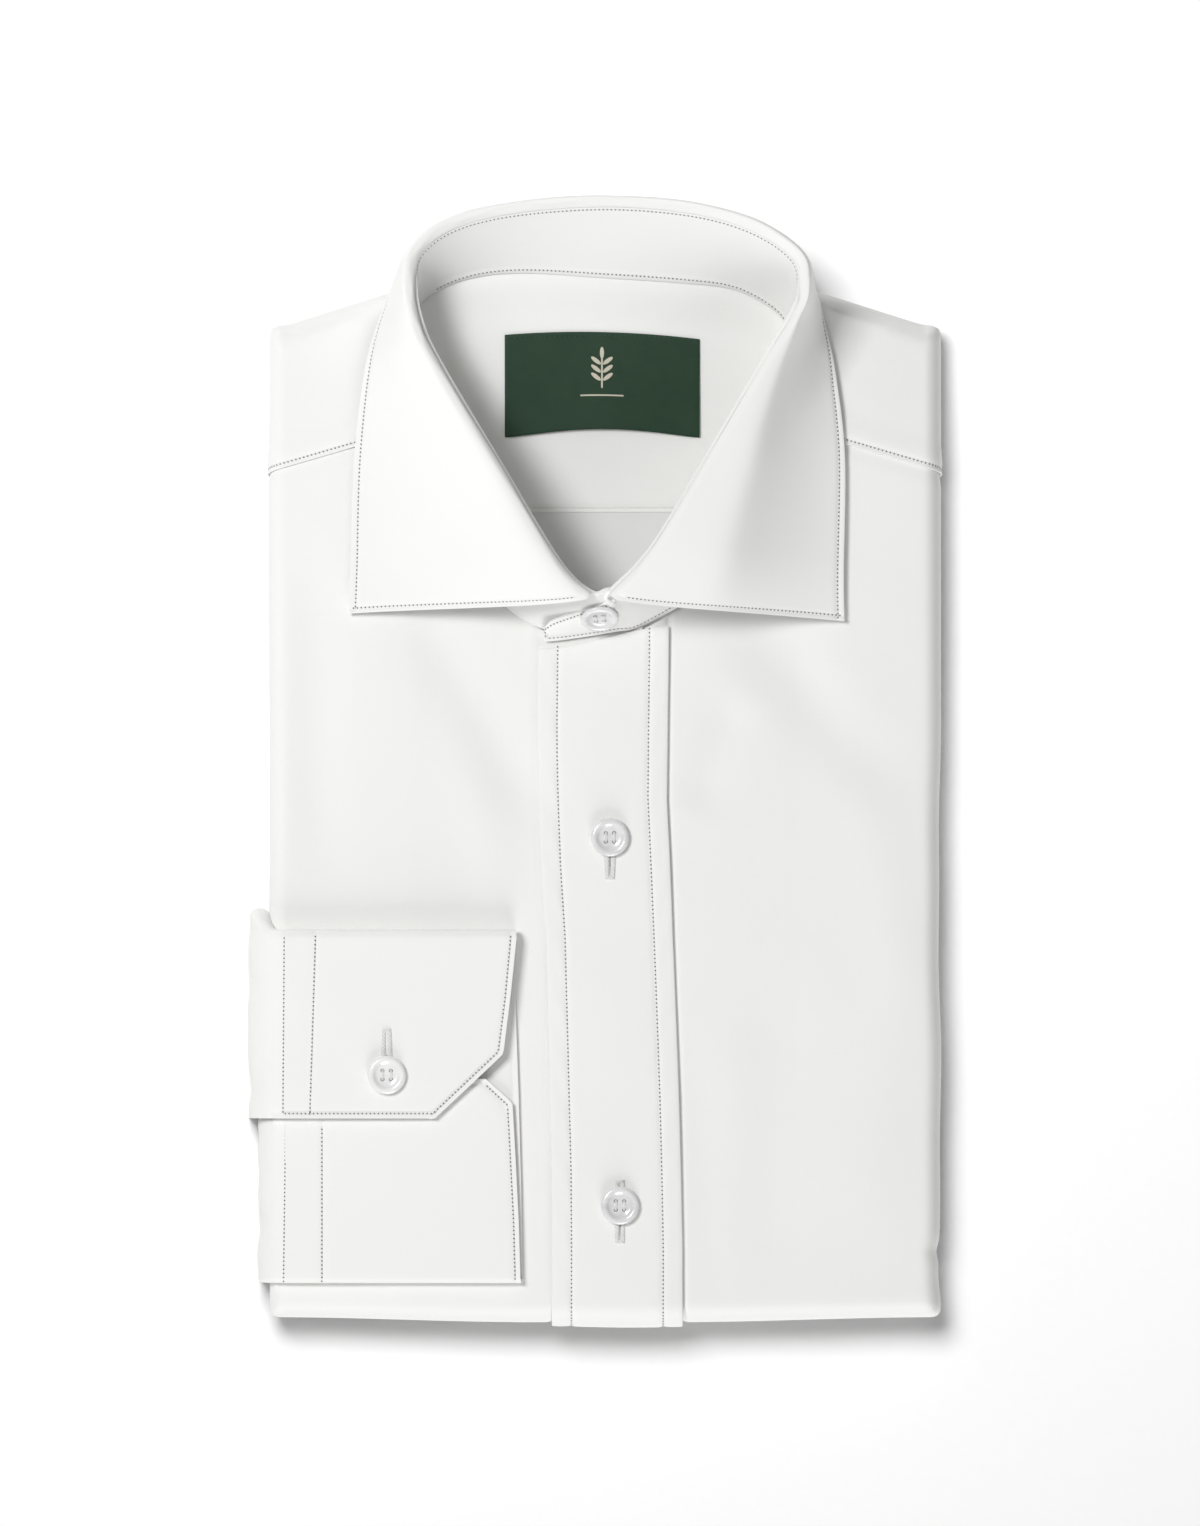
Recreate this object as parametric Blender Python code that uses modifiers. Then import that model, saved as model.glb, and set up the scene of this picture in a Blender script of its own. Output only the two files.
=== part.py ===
"""A folded dress shirt, lying front up with its collar buttoned and one cuff brought round.

Lengths in this file are millimetres, and MM turns them into metres as each mesh is made.
+X is the wearer's left, +Y runs from the hem fold to the collar, and +Z is up.
The origin is on the flat underside, on the middle line of the fold.
"""

import math
from collections import namedtuple

import bmesh
import bpy
from mathutils import Matrix, Vector

MM = 0.001

# Driving dimensions of the folded body.
HALF_WIDTH = 107.6
HEM_FOLD = -180.6
BODY_HEIGHT = 19.6
EDGE_REACH = 7.0  # how far in from an edge its roll starts
EDGE_DROP = 8.6  # height of the roll
EDGE_TURN = math.radians(106)  # how far round the roll the top panels go
CORNER_POWER = 4.0  # 2 gives round plan corners, and more gives squarer ones

# Walls of cloth, and the gap left between pieces that meet.
CLOTH = 1.0
FUSED = 1.2  # collar, cuff and placket are two layers fused to an interlining
GAP = 0.35
CORE_GAP = 0.65
CORE_CORNER_GAP = 3.4  # more, inside the rounded corners of the shoulders
STAND_FOOT = 1.0  # the stand's seam above the fronts and the yoke that it is sewn to

# Shoulders: a straight fold up from each corner, easing level behind the neck.
SHOULDER_CORNER = 137.0
SHOULDER_SLOPE = 0.31
SHOULDER_EASE = 50.0

# Inside of the neck.
YOKE_SEAM_INSIDE = 78.7
NECK_FLOOR_LOW = 8.0
NECK_FLOOR_HIGH = 20.6
NECK_FLOOR_FROM = 72.0
NECK_FLOOR_TO = 156.0
NECK_CUT_INSET = 0.965
INNER_YOKE_TOP = 150.0
INNER_YOKE_WIDEST = 132.0  # how far up the neck is at its widest
INNER_YOKE_SHARE = 0.9  # of the neck's width
INNER_YOKE_INSET = 3.0  # below the neck seam at the back
INNER_YOKE_ROUNDING = 6.0  # of its upper corners
LABEL_LEFT, LABEL_RIGHT = -32.0, 30.0
LABEL_LOW, LABEL_HIGH = 102.7, 134.6
LABEL_WALL = 0.6

# Shirt buttons.
BUTTON_HOLE_RADIUS = 0.8
BUTTON_HOLE_PLACE = 1.35
BUTTON_UNDER = 0.7  # from a button's middle down to its flat back

# Soft troughs (-) and ridges (+) in the fronts: a line, its depth and its half width.
Fold = namedtuple("Fold", "x0 y0 x1 y1 rise spread")
FOLDS = (
    Fold(-92, 60, -90, -30, -0.7, 13),
    Fold(-62, 30, -30, -36, -0.8, 14),
    Fold(88, 66, 60, -10, -0.9, 15),
    Fold(94, -60, 84, -150, 0.7, 13),
    Fold(58, -80, 50, -160, -0.6, 15),
    Fold(-52, -128, -40, -176, 0.5, 14),
)

# Edges layered below the top panels: height of each ring, and how far it is set in.
Layer = namedtuple("Layer", "z inset")
EDGE_LAYERS = (
    Layer(8.6, 3.0),
    Layer(7.6, 0.9),
    Layer(6.4, 0.8),
    Layer(5.7, 2.4),
    Layer(4.8, 1.1),
    Layer(3.6, 1.0),
    Layer(2.9, 2.6),
    Layer(2.0, 1.3),
    Layer(0.9, 1.3),
    Layer(0.0, 2.6),
)

# Collar, from the wearer's right front round the back to the left front. Each section has the
# neck seam, the roll line at the top of the stand, and the free edge of the fall.
Section = namedtuple("Section", "seam_x seam_y roll_x roll_y roll_z edge_x edge_y edge_z")
COLLAR = (
    Section(-15.5, 42.0, -4.2, 52.8, 44.5, -82.0, 46.2, 22.6),
    Section(-34.5, 56.0, -14.5, 62.6, 43.8, -81.2, 62.0, 22.6),
    Section(-50.7, 83.0, -33.5, 93.9, 42.0, -80.2, 96.0, 22.6),
    Section(-61.6, 116.0, -52.6, 125.6, 42.3, -77.0, 124.0, 22.4),
    Section(-62.6, 132.0, -58.6, 138.0, 43.0, -73.4, 137.6, 22.4),
    Section(-60.6, 144.6, -61.0, 149.5, 43.5, -68.8, 150.0, 19.0),
    Section(-53.8, 150.4, -60.0, 160.5, 43.0, -64.5, 159.5, 11.0),
    Section(-42.0, 154.6, -49.5, 169.2, 42.2, -52.8, 168.6, 6.5),
    Section(-26.0, 156.0, -30.0, 174.4, 41.4, -32.0, 173.6, 4.6),
    Section(0.0, 154.4, 0.0, 176.6, 41.0, 0.0, 175.6, 4.0),
    Section(24.0, 152.8, 28.0, 174.4, 41.4, 30.0, 173.2, 4.6),
    Section(40.0, 151.0, 47.5, 168.8, 42.2, 51.0, 167.4, 6.5),
    Section(51.4, 146.0, 60.6, 159.8, 43.0, 63.6, 158.6, 11.0),
    Section(58.6, 139.6, 62.6, 150.0, 43.5, 67.8, 149.4, 19.0),
    Section(62.0, 128.0, 59.6, 141.4, 43.0, 71.2, 136.0, 22.4),
    Section(61.4, 114.0, 51.6, 128.4, 42.3, 74.0, 122.0, 22.4),
    Section(51.6, 86.0, 34.6, 99.7, 42.0, 76.8, 96.0, 22.6),
    Section(35.6, 58.0, 15.0, 67.4, 43.8, 76.4, 60.0, 22.6),
    Section(13.5, 42.8, 1.3, 52.6, 44.5, 76.6, 43.8, 22.6),
)
ROLL_RADIUS = 2.6

# The stand goes on past the fall at the front: the right end under, and the left end, the tab,
# over it with a rounded end. Each row has the seam and the top edge.
StandEnd = namedtuple("StandEnd", "seam_x seam_y top_x top_y rise")
STAND_UNDER = (
    StandEnd(9.0, 44.6, 9.0, 49.6, 9.6),
    StandEnd(0.0, 42.4, 0.6, 51.6, 17.5),
)
STAND_TAB = (
    StandEnd(3.0, 39.9, 0.6, 48.6, 16.8),
    StandEnd(-9.3, 38.0, -10.6, 44.9, 13.2),
    StandEnd(-17.6, 36.9, -17.9, 41.6, 9.4),
    StandEnd(-19.4, 37.4, -19.5, 39.8, 5.6),
)
NECK_BUTTON = (-1.5, 10.4)  # across, and up the slope of the band from its seam

# Placket: its two edges, down the front.
Edge = namedtuple("Edge", "y left right")
PLACKET_TOP_LEFT, PLACKET_TOP_RIGHT = 35.0, 41.6
PLACKET = (
    Edge(36.0, -21.4, 20.4),
    Edge(1.0, -21.7, 20.2),
    Edge(-33.8, -20.5, 20.9),
    Edge(-71.9, -18.8, 22.4),
    Edge(-109.4, -17.8, 23.8),
    Edge(-140.0, -17.1, 24.6),
    Edge(-182.0, -17.1, 24.9),
)
FRONT_BUTTONS = ((1.6, -25.4), (4.8, -143.2))

# The fronts meet under the placket, clear of each other.
FRONTS_MEET = 12.0

# Outer yoke: sections from the neck seam out to the fold at the side or the shoulder. The outer
# end is measured along the cloth, so it goes on round the roll.
YOKE_SEAM_SIDE = 91.4  # where the yoke's seam meets a side edge
YOKE_SIDE = ((-61.6, 105.4, 91.4), (-62.9, 114.0, 103.0), (-63.6, 124.0, 118.0))
YOKE_TOP = (
    (-63.2, 134.0, -1.0),
    (-61.8, 143.6, -0.83),
    (-54.6, 151.6, -0.66),
    (-42.4, 155.8, -0.44),
    (-22.0, 157.0, -0.22),
    (0.0, 155.4, 0.0),
    (22.0, 154.0, 0.22),
    (41.0, 152.0, 0.44),
    (52.4, 147.0, 0.66),
    (59.6, 140.4, 0.83),
    (63.0, 131.0, 1.0),
)

# Cuff: sections round the flattened band, from the buttonhole end over the top fold, along the
# back and up to the button end. lift is the height of the outer face above the shirt front.
Wrap = namedtuple("Wrap", "y lift wrist_x")
CUFF_TOP_FOLD = -57.4
CUFF_BOTTOM_FOLD = -165.6
CUFF_LIFT = 5.8
CUFF_UNDER_LIFT = 3.5
CUFF_SEAM = 104.0  # from the middle line, along the cloth
CUFF_OVER = (
    Wrap(-115.4, 5.6, -54.6),
    Wrap(-105.0, 5.8, -43.4),
    Wrap(-94.6, 5.8, -32.5),
    Wrap(-76.0, 5.9, -30.2),
)
CUFF_BACK = (
    Wrap(-79.0, GAP, -28.6),
    Wrap(-108.0, GAP, -27.6),
    Wrap(-137.0, GAP, -26.8),
)
CUFF_UNDER = (
    Wrap(-148.0, 3.6, -27.6),
    Wrap(-128.0, 3.6, -28.6),
    Wrap(-110.2, 3.5, -29.6),
    Wrap(-102.6, 3.4, -38.2),
)
CUFF_BUTTON = (-69.8, -101.4)

# Sleeve: it leaves the cuff, rolls over the side edge and goes down beside the body.
SLEEVE_SEAM_GAP = 0.4
SLEEVE_FOOT = 1.2
SLEEVE_FULLNESS = 6.6  # how much further up it spreads at the edge than at the cuff


def ease(value):
    """0 to 1, level at both ends."""
    value = min(max(value, 0.0), 1.0)
    return value * value * (3 - 2 * value)


def mix(low, high, share):
    return low + (high - low) * share


def spread(low, high, count):
    """count values from low to high, both included."""
    return [mix(low, high, i / (count - 1)) for i in range(count)]


def read_curve(points, place):
    """A smooth curve through points, read at place, which counts points from 0."""
    start = min(max(int(place), 0), len(points) - 2)
    share = place - start
    before = points[max(start - 1, 0)]
    first, second = points[start], points[start + 1]
    after = points[min(start + 2, len(points) - 1)]
    return 0.5 * (
        2 * first
        + (second - before) * share
        + (2 * before - 5 * first + 4 * second - after) * share**2
        + (3 * first - before - 3 * second + after) * share**3
    )


def read_column(rows, key, value, column):
    """A column of a table, read between the rows on either side of value in the column key."""
    rows = sorted(rows, key=lambda row: getattr(row, key))
    value = min(max(value, getattr(rows[0], key)), getattr(rows[-1], key))
    for low, high in zip(rows, rows[1:]):
        if value <= getattr(high, key):
            break
    share = (value - getattr(low, key)) / (getattr(high, key) - getattr(low, key))
    return mix(getattr(low, column), getattr(high, column), share)


def fold_height(x, y):
    """What the folds in the fronts add to the height."""
    total = 0.0
    for fold in FOLDS:
        along = Vector((fold.x1 - fold.x0, fold.y1 - fold.y0))
        away = Vector((x - fold.x0, y - fold.y0))
        place = away.dot(along) / along.length_squared
        aside = (away - along * place).length
        ends = ease(place * 3 + 0.5) * ease((1 - place) * 3 + 0.5)
        total += fold.rise * ends * math.exp(-((aside / fold.spread) ** 2))
    return total


def height(x, y):
    """Height of the top of the folded body above its underside."""
    crown = 1.0 * (1 - (x / HALF_WIDTH) ** 2)
    neck = 3.2 * math.exp(-((x / 62) ** 2) - ((y - 152) / 30) ** 2)
    shoulder = 3.0 * ease((y - 96) / 42) * ease((abs(x) - 58) / 46)
    return BODY_HEIGHT + crown + neck - shoulder + fold_height(x, y)


def shoulder_line(x):
    """How far up the fold over the shoulders is, across the shirt."""
    out = abs(x)
    if out > SHOULDER_EASE:
        return SHOULDER_CORNER + SHOULDER_SLOPE * (HALF_WIDTH - out)
    level = SHOULDER_CORNER + SHOULDER_SLOPE * (HALF_WIDTH - SHOULDER_EASE)
    return level + SHOULDER_SLOPE * SHOULDER_EASE / 2 * (1 - (out / SHOULDER_EASE) ** 2)


SIDE_FLAT = HALF_WIDTH - EDGE_REACH
SIDE_END = SIDE_FLAT + EDGE_REACH * EDGE_TURN
HEM_END = HEM_FOLD + EDGE_REACH - EDGE_REACH * EDGE_TURN


def shoulder_end(across):
    """Where the cloth that goes over the shoulder fold ends, measured along it."""
    return shoulder_line(across) - EDGE_REACH + EDGE_REACH * EDGE_TURN


def body_point(across, along, lift=0.0):
    """A point of the cloth on top of the folded body, lift above it.

    across and along are measured on the cloth, so past an edge they go on round its roll.
    """
    flat_x = min(max(across, -SIDE_FLAT), SIDE_FLAT)
    top_flat = shoulder_line(flat_x) - EDGE_REACH
    flat_y = min(max(along, HEM_FOLD + EDGE_REACH), top_flat)
    past_x = (across - flat_x) / EDGE_REACH
    past_y = (along - flat_y) / EDGE_REACH
    turn = max(abs(past_x), abs(past_y))
    reach = 0.0
    if turn > 0:
        size = (abs(past_x) ** CORNER_POWER + abs(past_y) ** CORNER_POWER) ** (1 / CORNER_POWER)
        reach = (EDGE_REACH + lift) * math.sin(turn) / size
    drop = (EDGE_DROP + lift) * (1 - math.cos(turn))
    x = flat_x + reach * past_x
    y = flat_y + reach * past_y
    return Vector((x, y, height(flat_x, flat_y) + lift - drop))


def sleeve_point(out, y, lift):
    """A point of cloth that lies on the front, goes over the wearer's right edge and hangs down.

    out is measured along the cloth from the middle line.
    """
    turn = min(max(out - SIDE_FLAT, 0.0) / EDGE_REACH, math.pi / 2)
    hang = max(out - SIDE_FLAT - EDGE_REACH * math.pi / 2, 0.0)
    flat = min(out, SIDE_FLAT)
    x = -flat - (EDGE_REACH + lift) * math.sin(turn)
    drop = (EDGE_DROP + lift) * (1 - math.cos(turn)) + hang
    return Vector((x, y, height(-flat, y) + lift - drop))


def neck_floor(x, y):
    """Height of the hidden layers in the bottom of the neck."""
    rise = ease((y - NECK_FLOOR_FROM) / (NECK_FLOOR_TO - NECK_FLOOR_FROM))
    return mix(NECK_FLOOR_LOW, NECK_FLOOR_HIGH, rise)


def seam_points():
    return [Vector((row.seam_x, row.seam_y)) for row in COLLAR]


def neck_outline(count):
    """Points round the neck seam, closed across the front."""
    points = seam_points()
    last = len(points) - 1
    return [read_curve(points, place) for place in spread(0, last, count)]


def neckline(x):
    """How far up the front's neckline is at x, from the neck seam."""
    under = [Vector((row.seam_x, row.seam_y)) for row in reversed(STAND_UNDER)]
    curve = neck_outline(73)
    side = curve[:24] if x < 0 else curve[-24:]
    points = sorted(side + under, key=lambda point: point.x)
    for low, high in zip(points, points[1:]):
        if low.x <= x <= high.x:
            return mix(low.y, high.y, (x - low.x) / max(high.x - low.x, 1e-6))
    return YOKE_SEAM_SIDE


def front_top(x):
    """Upper edge of a front: the neckline in the middle, and the yoke seam at the side."""
    seam_x = abs(YOKE_SIDE[0][0])
    if abs(x) >= seam_x:
        share = (abs(x) - seam_x) / (HALF_WIDTH - seam_x)
        return mix(YOKE_SIDE[0][1], YOKE_SIDE[0][2], min(share, 1.0)) - GAP
    return min(neckline(x), YOKE_SIDE[0][1]) - 1.2


def material(name, colour, roughness):
    made = bpy.data.materials.new(name)
    made.use_nodes = True
    shader = made.node_tree.nodes["Principled BSDF"]
    shader.inputs["Base Color"].default_value = (*colour, 1.0)
    shader.inputs["Roughness"].default_value = roughness
    return made


def collection(name):
    made = bpy.data.collections.new(name)
    bpy.context.scene.collection.children.link(made)
    return made


def new_object(name, bm, into, look=None):
    """An object made from bm, which it frees."""
    mesh = bpy.data.meshes.new(name)
    bm.to_mesh(mesh)
    bm.free()
    if look:
        mesh.materials.append(look)
        mesh.shade_smooth()
        mesh.set_sharp_from_angle(angle=math.radians(45))
    made = bpy.data.objects.new(name, mesh)
    into.objects.link(made)
    return made


def grid_faces(bm, rows, ring=False):
    """Faces between rows of points, which face up where the rows go up and the points go right."""
    grid = [[bm.verts.new(point * MM) for point in row] for row in rows]
    for low, high in zip(grid, grid[1:]):
        pairs = list(zip(range(len(low)), range(1, len(low))))
        if ring:
            pairs.append((len(low) - 1, 0))
        for left, right in pairs:
            bm.faces.new((low[left], low[right], high[right], high[left]))
    return grid


def cloth(name, rows, wall, look, into):
    """A wall of cloth whose outer face goes through the rows of points."""
    bm = bmesh.new()
    grid_faces(bm, rows)
    made = new_object(name, bm, into, look)
    solid = made.modifiers.new("Wall", "SOLIDIFY")
    solid.thickness = wall * MM
    solid.offset = -1
    solid.use_even_offset = True
    return made


def core_lift(x, y):
    """How far the hidden layers lie below the outer face of the panels."""
    corner = ease((abs(x) - 66) / 24) * ease((y - 114) / 16)
    return -(CLOTH + CORE_GAP + CORE_CORNER_GAP * corner)


def make_folded_layers(look, into, cutters):
    """Back, turned-in sides, tail and the far sleeve: one solid, layered at its edges."""
    across = (
        spread(-SIDE_END, -SIDE_FLAT, 4)[:-1]
        + spread(-SIDE_FLAT, SIDE_FLAT, 12)
        + spread(SIDE_FLAT, SIDE_END, 4)[1:]
    )
    hem_flat = HEM_FOLD + EDGE_REACH
    rows = []
    for part, shares in (("hem", 4), ("flat", 16), ("shoulder", 4)):
        for share in spread(0, 1, shares)[part != "hem":]:
            row = []
            for x in across:
                flat_x = min(max(x, -SIDE_FLAT), SIDE_FLAT)
                top_flat = shoulder_line(flat_x) - EDGE_REACH
                ends = {
                    "hem": (HEM_END, hem_flat),
                    "flat": (hem_flat, top_flat),
                    "shoulder": (top_flat, shoulder_end(flat_x)),
                }
                y = mix(*ends[part], share)
                row.append(body_point(x, y, core_lift(x, y)))
            rows.append(row)

    bm = bmesh.new()
    grid = grid_faces(bm, rows)
    edge = grid[0][:-1] + [row[-1] for row in grid[:-1]]
    edge += grid[-1][:0:-1] + [row[0] for row in grid[:0:-1]]
    above = edge
    for layer in EDGE_LAYERS:
        ring = []
        for corner in edge:
            x, y = corner.co.x / MM, corner.co.y / MM
            wave = 1 + 0.05 * math.sin(x / 31 + y / 43) * ease(layer.z)
            inset = Vector((x * layer.inset / HALF_WIDTH, (y + 12) * layer.inset / 168, 0))
            ring.append(bm.verts.new((Vector((x, y, layer.z * wave)) - inset) * MM))
        for i in range(len(ring)):
            after = (i + 1) % len(ring)
            bm.faces.new((above[after], above[i], ring[i], ring[after]))
        above = ring
    bm.faces.new(list(reversed(above)))
    made = new_object("folded_layers", bm, into, look)

    bm = bmesh.new()
    outline = neck_outline(33)
    middle = sum(outline, Vector((0, 0))) / len(outline)
    outline = [middle + (point - middle) * NECK_CUT_INSET for point in outline]
    rows = []
    for size in (0.04, 0.35, 0.65, 0.85, 1.0):
        ring = [middle + (point - middle) * size for point in outline]
        rows.append([Vector((point.x, point.y, neck_floor(*point))) for point in ring])
    rows.append([Vector((point.x, point.y, 3 * BODY_HEIGHT)) for point in outline])
    grid = grid_faces(bm, rows, ring=True)
    bm.faces.new(grid[0])
    bm.faces.new(grid[-1])
    bmesh.ops.recalc_face_normals(bm, faces=bm.faces)
    cutter = new_object("neck_cutter", bm, cutters)
    cutter.hide_render = True
    cutter.display_type = "WIRE"
    hollow = made.modifiers.new("Neck hollow", "BOOLEAN")
    hollow.operation = "DIFFERENCE"
    hollow.object = cutter


def make_fronts(look, into):
    """Each front runs from the yoke and neck seams, round the side edge and the hem fold."""
    for name, side in (("front_right", -1), ("front_left", 1)):
        inner = FRONTS_MEET + side * GAP
        stops = [SIDE_FLAT, 91, 81, 71, abs(YOKE_SIDE[0][0]) + 0.6, 58, 53, 47, 40, 32, 23]
        stops = [side * stop for stop in stops]
        if side < 0:
            stops += [-14, -5, 4]
        stops = spread(side * SIDE_END, side * SIDE_FLAT, 5)[:-1] + stops + [inner]
        rows = []
        for share in spread(0, 1, 5)[:-1]:
            along = mix(HEM_END, HEM_FOLD + EDGE_REACH, share)
            rows.append([body_point(x, along) for x in sorted(stops)])
        for share in spread(0, 1, 19):
            row = []
            for x in sorted(stops):
                low = HEM_FOLD + EDGE_REACH
                row.append(body_point(x, mix(low, front_top(x), share)))
            rows.append(row)
        cloth(name, rows, CLOTH, look, into)


def line_point(points, place):
    """A point on the straight lines through points, at place, which counts points from 0."""
    start = min(int(place), len(points) - 2)
    return points[start] + (points[start + 1] - points[start]) * (place - start)


def make_yoke(look, into):
    """The yoke goes round the back of the neck and over both shoulders."""
    inner, outer = [], []
    for x, y, side_y in YOKE_SIDE:
        inner.append(Vector((x, y)))
        outer.append(Vector((-SIDE_END, side_y)))
    for x, y, share in YOKE_TOP:
        across = share * SIDE_FLAT
        if abs(share) == 1:
            across = math.copysign(SIDE_END, share)
        inner.append(Vector((x, y)))
        outer.append(Vector((across, shoulder_end(share * SIDE_FLAT))))
    for x, y, side_y in reversed(YOKE_SIDE):
        inner.append(Vector((-x, y)))
        outer.append(Vector((SIDE_END, side_y)))
    last = len(inner) - 1
    places = spread(0, last, 2 * last + 1)
    shares = (0.0, 0.3, 0.58, 0.74, 0.83, 0.91, 1.0)
    rows = []
    for share in shares:
        row = []
        for place in places:
            near, far = read_curve(inner, place), line_point(outer, place)
            point = near + (far - near) * share
            row.append(body_point(point.x, point.y))
        rows.append(row)
    cloth("yoke", rows, CLOTH, look, into)


def neck_width(y):
    """Left and right limits of the inside of the neck at y."""
    outline = neck_outline(73)
    left, right = 0.0, 0.0
    for low, high in zip(outline, outline[1:]):
        if min(low.y, high.y) <= y <= max(low.y, high.y) and low.y != high.y:
            x = mix(low.x, high.x, (y - low.y) / (high.y - low.y))
            left, right = min(left, x), max(right, x)
    return left, right


def back_seam(x):
    """How far up the neck seam is at the back of the neck."""
    points = [point for point in neck_outline(73) if point.y > 138]
    points.sort(key=lambda point: point.x)
    for low, high in zip(points, points[1:]):
        if low.x <= x <= high.x:
            return mix(low.y, high.y, (x - low.x) / max(high.x - low.x, 1e-6))
    return points[0].y if x < points[0].x else points[-1].y


def inner_point(x, y, lift):
    return Vector((x, y, neck_floor(x, y) + lift))


def make_inner_yoke(look, into):
    """The inner yoke lines the back of the neck, down to its seam with the back."""
    rows = []
    for share in spread(0, 1, 9):
        row = []
        widest = min(mix(YOKE_SEAM_INSIDE, INNER_YOKE_TOP, share), INNER_YOKE_WIDEST)
        left, right = neck_width(widest)
        for across in spread(-1, 1, 11):
            x = mix(left, right, (across + 1) / 2) * INNER_YOKE_SHARE
            high = back_seam(x) - INNER_YOKE_INSET - INNER_YOKE_ROUNDING * abs(across) ** 6
            y = mix(YOKE_SEAM_INSIDE, high, share)
            row.append(inner_point(x, y, CLOTH + CORE_GAP))
        rows.append(row)
    cloth("inner_yoke", rows, CLOTH, look, into)


def make_label(look, into):
    """The woven label, sewn along its top to the inner yoke."""
    rows = []
    lift = CLOTH + CORE_GAP + GAP + LABEL_WALL
    for share in spread(0, 1, 6):
        row = []
        for across in spread(-1, 1, 9):
            x = mix(LABEL_LEFT, LABEL_RIGHT, (across + 1) / 2)
            bow = 1.6 * (1 - across**2)
            y = mix(LABEL_LOW, LABEL_HIGH, share) + bow
            stand_off = 0.8 * (1 - share) * (1 - across**2)
            row.append(inner_point(x, y, lift + stand_off))
        rows.append(row)
    cloth("label", rows, LABEL_WALL, look, into)


def stand_sections():
    """Seam and top of the stand, from the end of the tab round the neck to the under end."""
    seams, tops = [], []
    for row in reversed(STAND_TAB):
        foot = Vector((row.seam_x, row.seam_y, height(row.seam_x, row.seam_y) + STAND_FOOT))
        seams.append(foot)
        tops.append(Vector((row.top_x, row.top_y, foot.z + row.rise)))
    for row in reversed(COLLAR):
        seams.append(Vector((row.seam_x, row.seam_y, height(row.seam_x, row.seam_y) + STAND_FOOT)))
        tops.append(Vector((row.roll_x, row.roll_y, row.roll_z)))
    for row in reversed(STAND_UNDER):
        foot = Vector((row.seam_x, row.seam_y, height(row.seam_x, row.seam_y) + STAND_FOOT))
        seams.append(foot)
        tops.append(Vector((row.top_x, row.top_y, foot.z + row.rise)))
    return seams, tops


def stand_point(place, share):
    """A point of the stand: place counts its sections, and share goes from the seam up."""
    seams, tops = stand_sections()
    return read_curve(seams, place) + (read_curve(tops, place) - read_curve(seams, place)) * share


def make_stand(look, into):
    """The stand rings the neck and leans in, with its tab buttoned across the front."""
    seams, _ = stand_sections()
    last = len(seams) - 1
    places = spread(0, last, 2 * last + 1)
    rows = [[stand_point(place, share) for place in places] for share in (0, 0.34, 0.67, 1)]
    cloth("collar_stand", rows, FUSED, look, into)


def fall_section(place):
    """Points across the fall: up from the stand, over the roll, and out to its free edge."""
    rolls = [Vector((row.roll_x, row.roll_y, row.roll_z)) for row in COLLAR]
    edges = [Vector((row.edge_x, row.edge_y, row.edge_z)) for row in COLLAR]
    roll, edge = read_curve(rolls, place), read_curve(edges, place)
    last = len(COLLAR) - 1
    ahead = read_curve(rolls, min(place + 0.2, last)) - read_curve(rolls, max(place - 0.2, 0))
    out = Vector((-ahead.y, ahead.x, 0)).normalized()
    up = Vector((0, 0, 1))
    start = roll + up * 2 * GAP
    crest = start + out * ROLL_RADIUS + up * ROLL_RADIUS
    points = [start]
    for turn in (30, 60):
        angle = math.radians(turn)
        points.append(crest - out * ROLL_RADIUS * math.cos(angle)
                      - up * ROLL_RADIUS * (1 - math.sin(angle)))
    span = (edge - crest).to_2d().length
    steep = ease((crest.z - edge.z) / max(span, 1.0) - 0.6)
    first = crest + out * (1.4 + 0.14 * span)
    back = crest - edge
    second = edge + Vector((back.x * 0.42, back.y * 0.42, back.z * mix(0.12, 0.5, steep)))
    second += out * 1.4 * steep
    for share in spread(0, 1, 7):
        rest = 1 - share
        points.append(
            crest * rest**3
            + first * 3 * rest**2 * share
            + second * 3 * rest * share**2
            + edge * share**3
        )
    return points


def make_fall(look, into):
    """The fall turns over the stand: two leaves on the front, and the back hanging free."""
    last = len(COLLAR) - 1
    columns = [fall_section(place) for place in spread(0, last, 2 * last + 1)]
    rows = list(zip(*columns))
    cloth("collar_fall", rows, FUSED, look, into)


def make_placket(look, into):
    """The placket strip lies over both fronts, down to and round the hem fold."""
    lift = GAP + FUSED
    rows = []
    stops = spread(HEM_END, HEM_FOLD + EDGE_REACH, 5)[:-1]
    stops += spread(HEM_FOLD + EDGE_REACH, PLACKET_TOP_LEFT, 19)
    for along in stops:
        left = read_column(PLACKET, "y", along, "left")
        right = read_column(PLACKET, "y", along, "right")
        row = []
        for x in spread(left, right, 6):
            y = along
            if along == stops[-1]:
                y = mix(PLACKET_TOP_LEFT, PLACKET_TOP_RIGHT, ease((x - left) / (right - left)))
            row.append(body_point(x, y, lift))
        rows.append(row)
    cloth("placket", rows, FUSED, look, into)


def cuff_wrap():
    """The rows of the cuff's section, with its two folds worked out."""
    rows = list(CUFF_OVER)
    high, low = CUFF_LIFT, GAP
    for turn in spread(0, math.pi, 6):
        radius = (high - low) / 2
        y = CUFF_TOP_FOLD + radius * math.sin(turn)
        rows.append(Wrap(y, low + radius + radius * math.cos(turn), mix(-28.3, -28.5, turn / 3)))
    rows += CUFF_BACK
    high = CUFF_UNDER_LIFT
    for turn in spread(0, math.pi, 6):
        radius = (high - low) / 2
        y = CUFF_BOTTOM_FOLD - radius * math.sin(turn)
        rows.append(Wrap(y, low + radius - radius * math.cos(turn), mix(-26.3, -27.0, turn / 3)))
    return rows + list(CUFF_UNDER)


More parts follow.
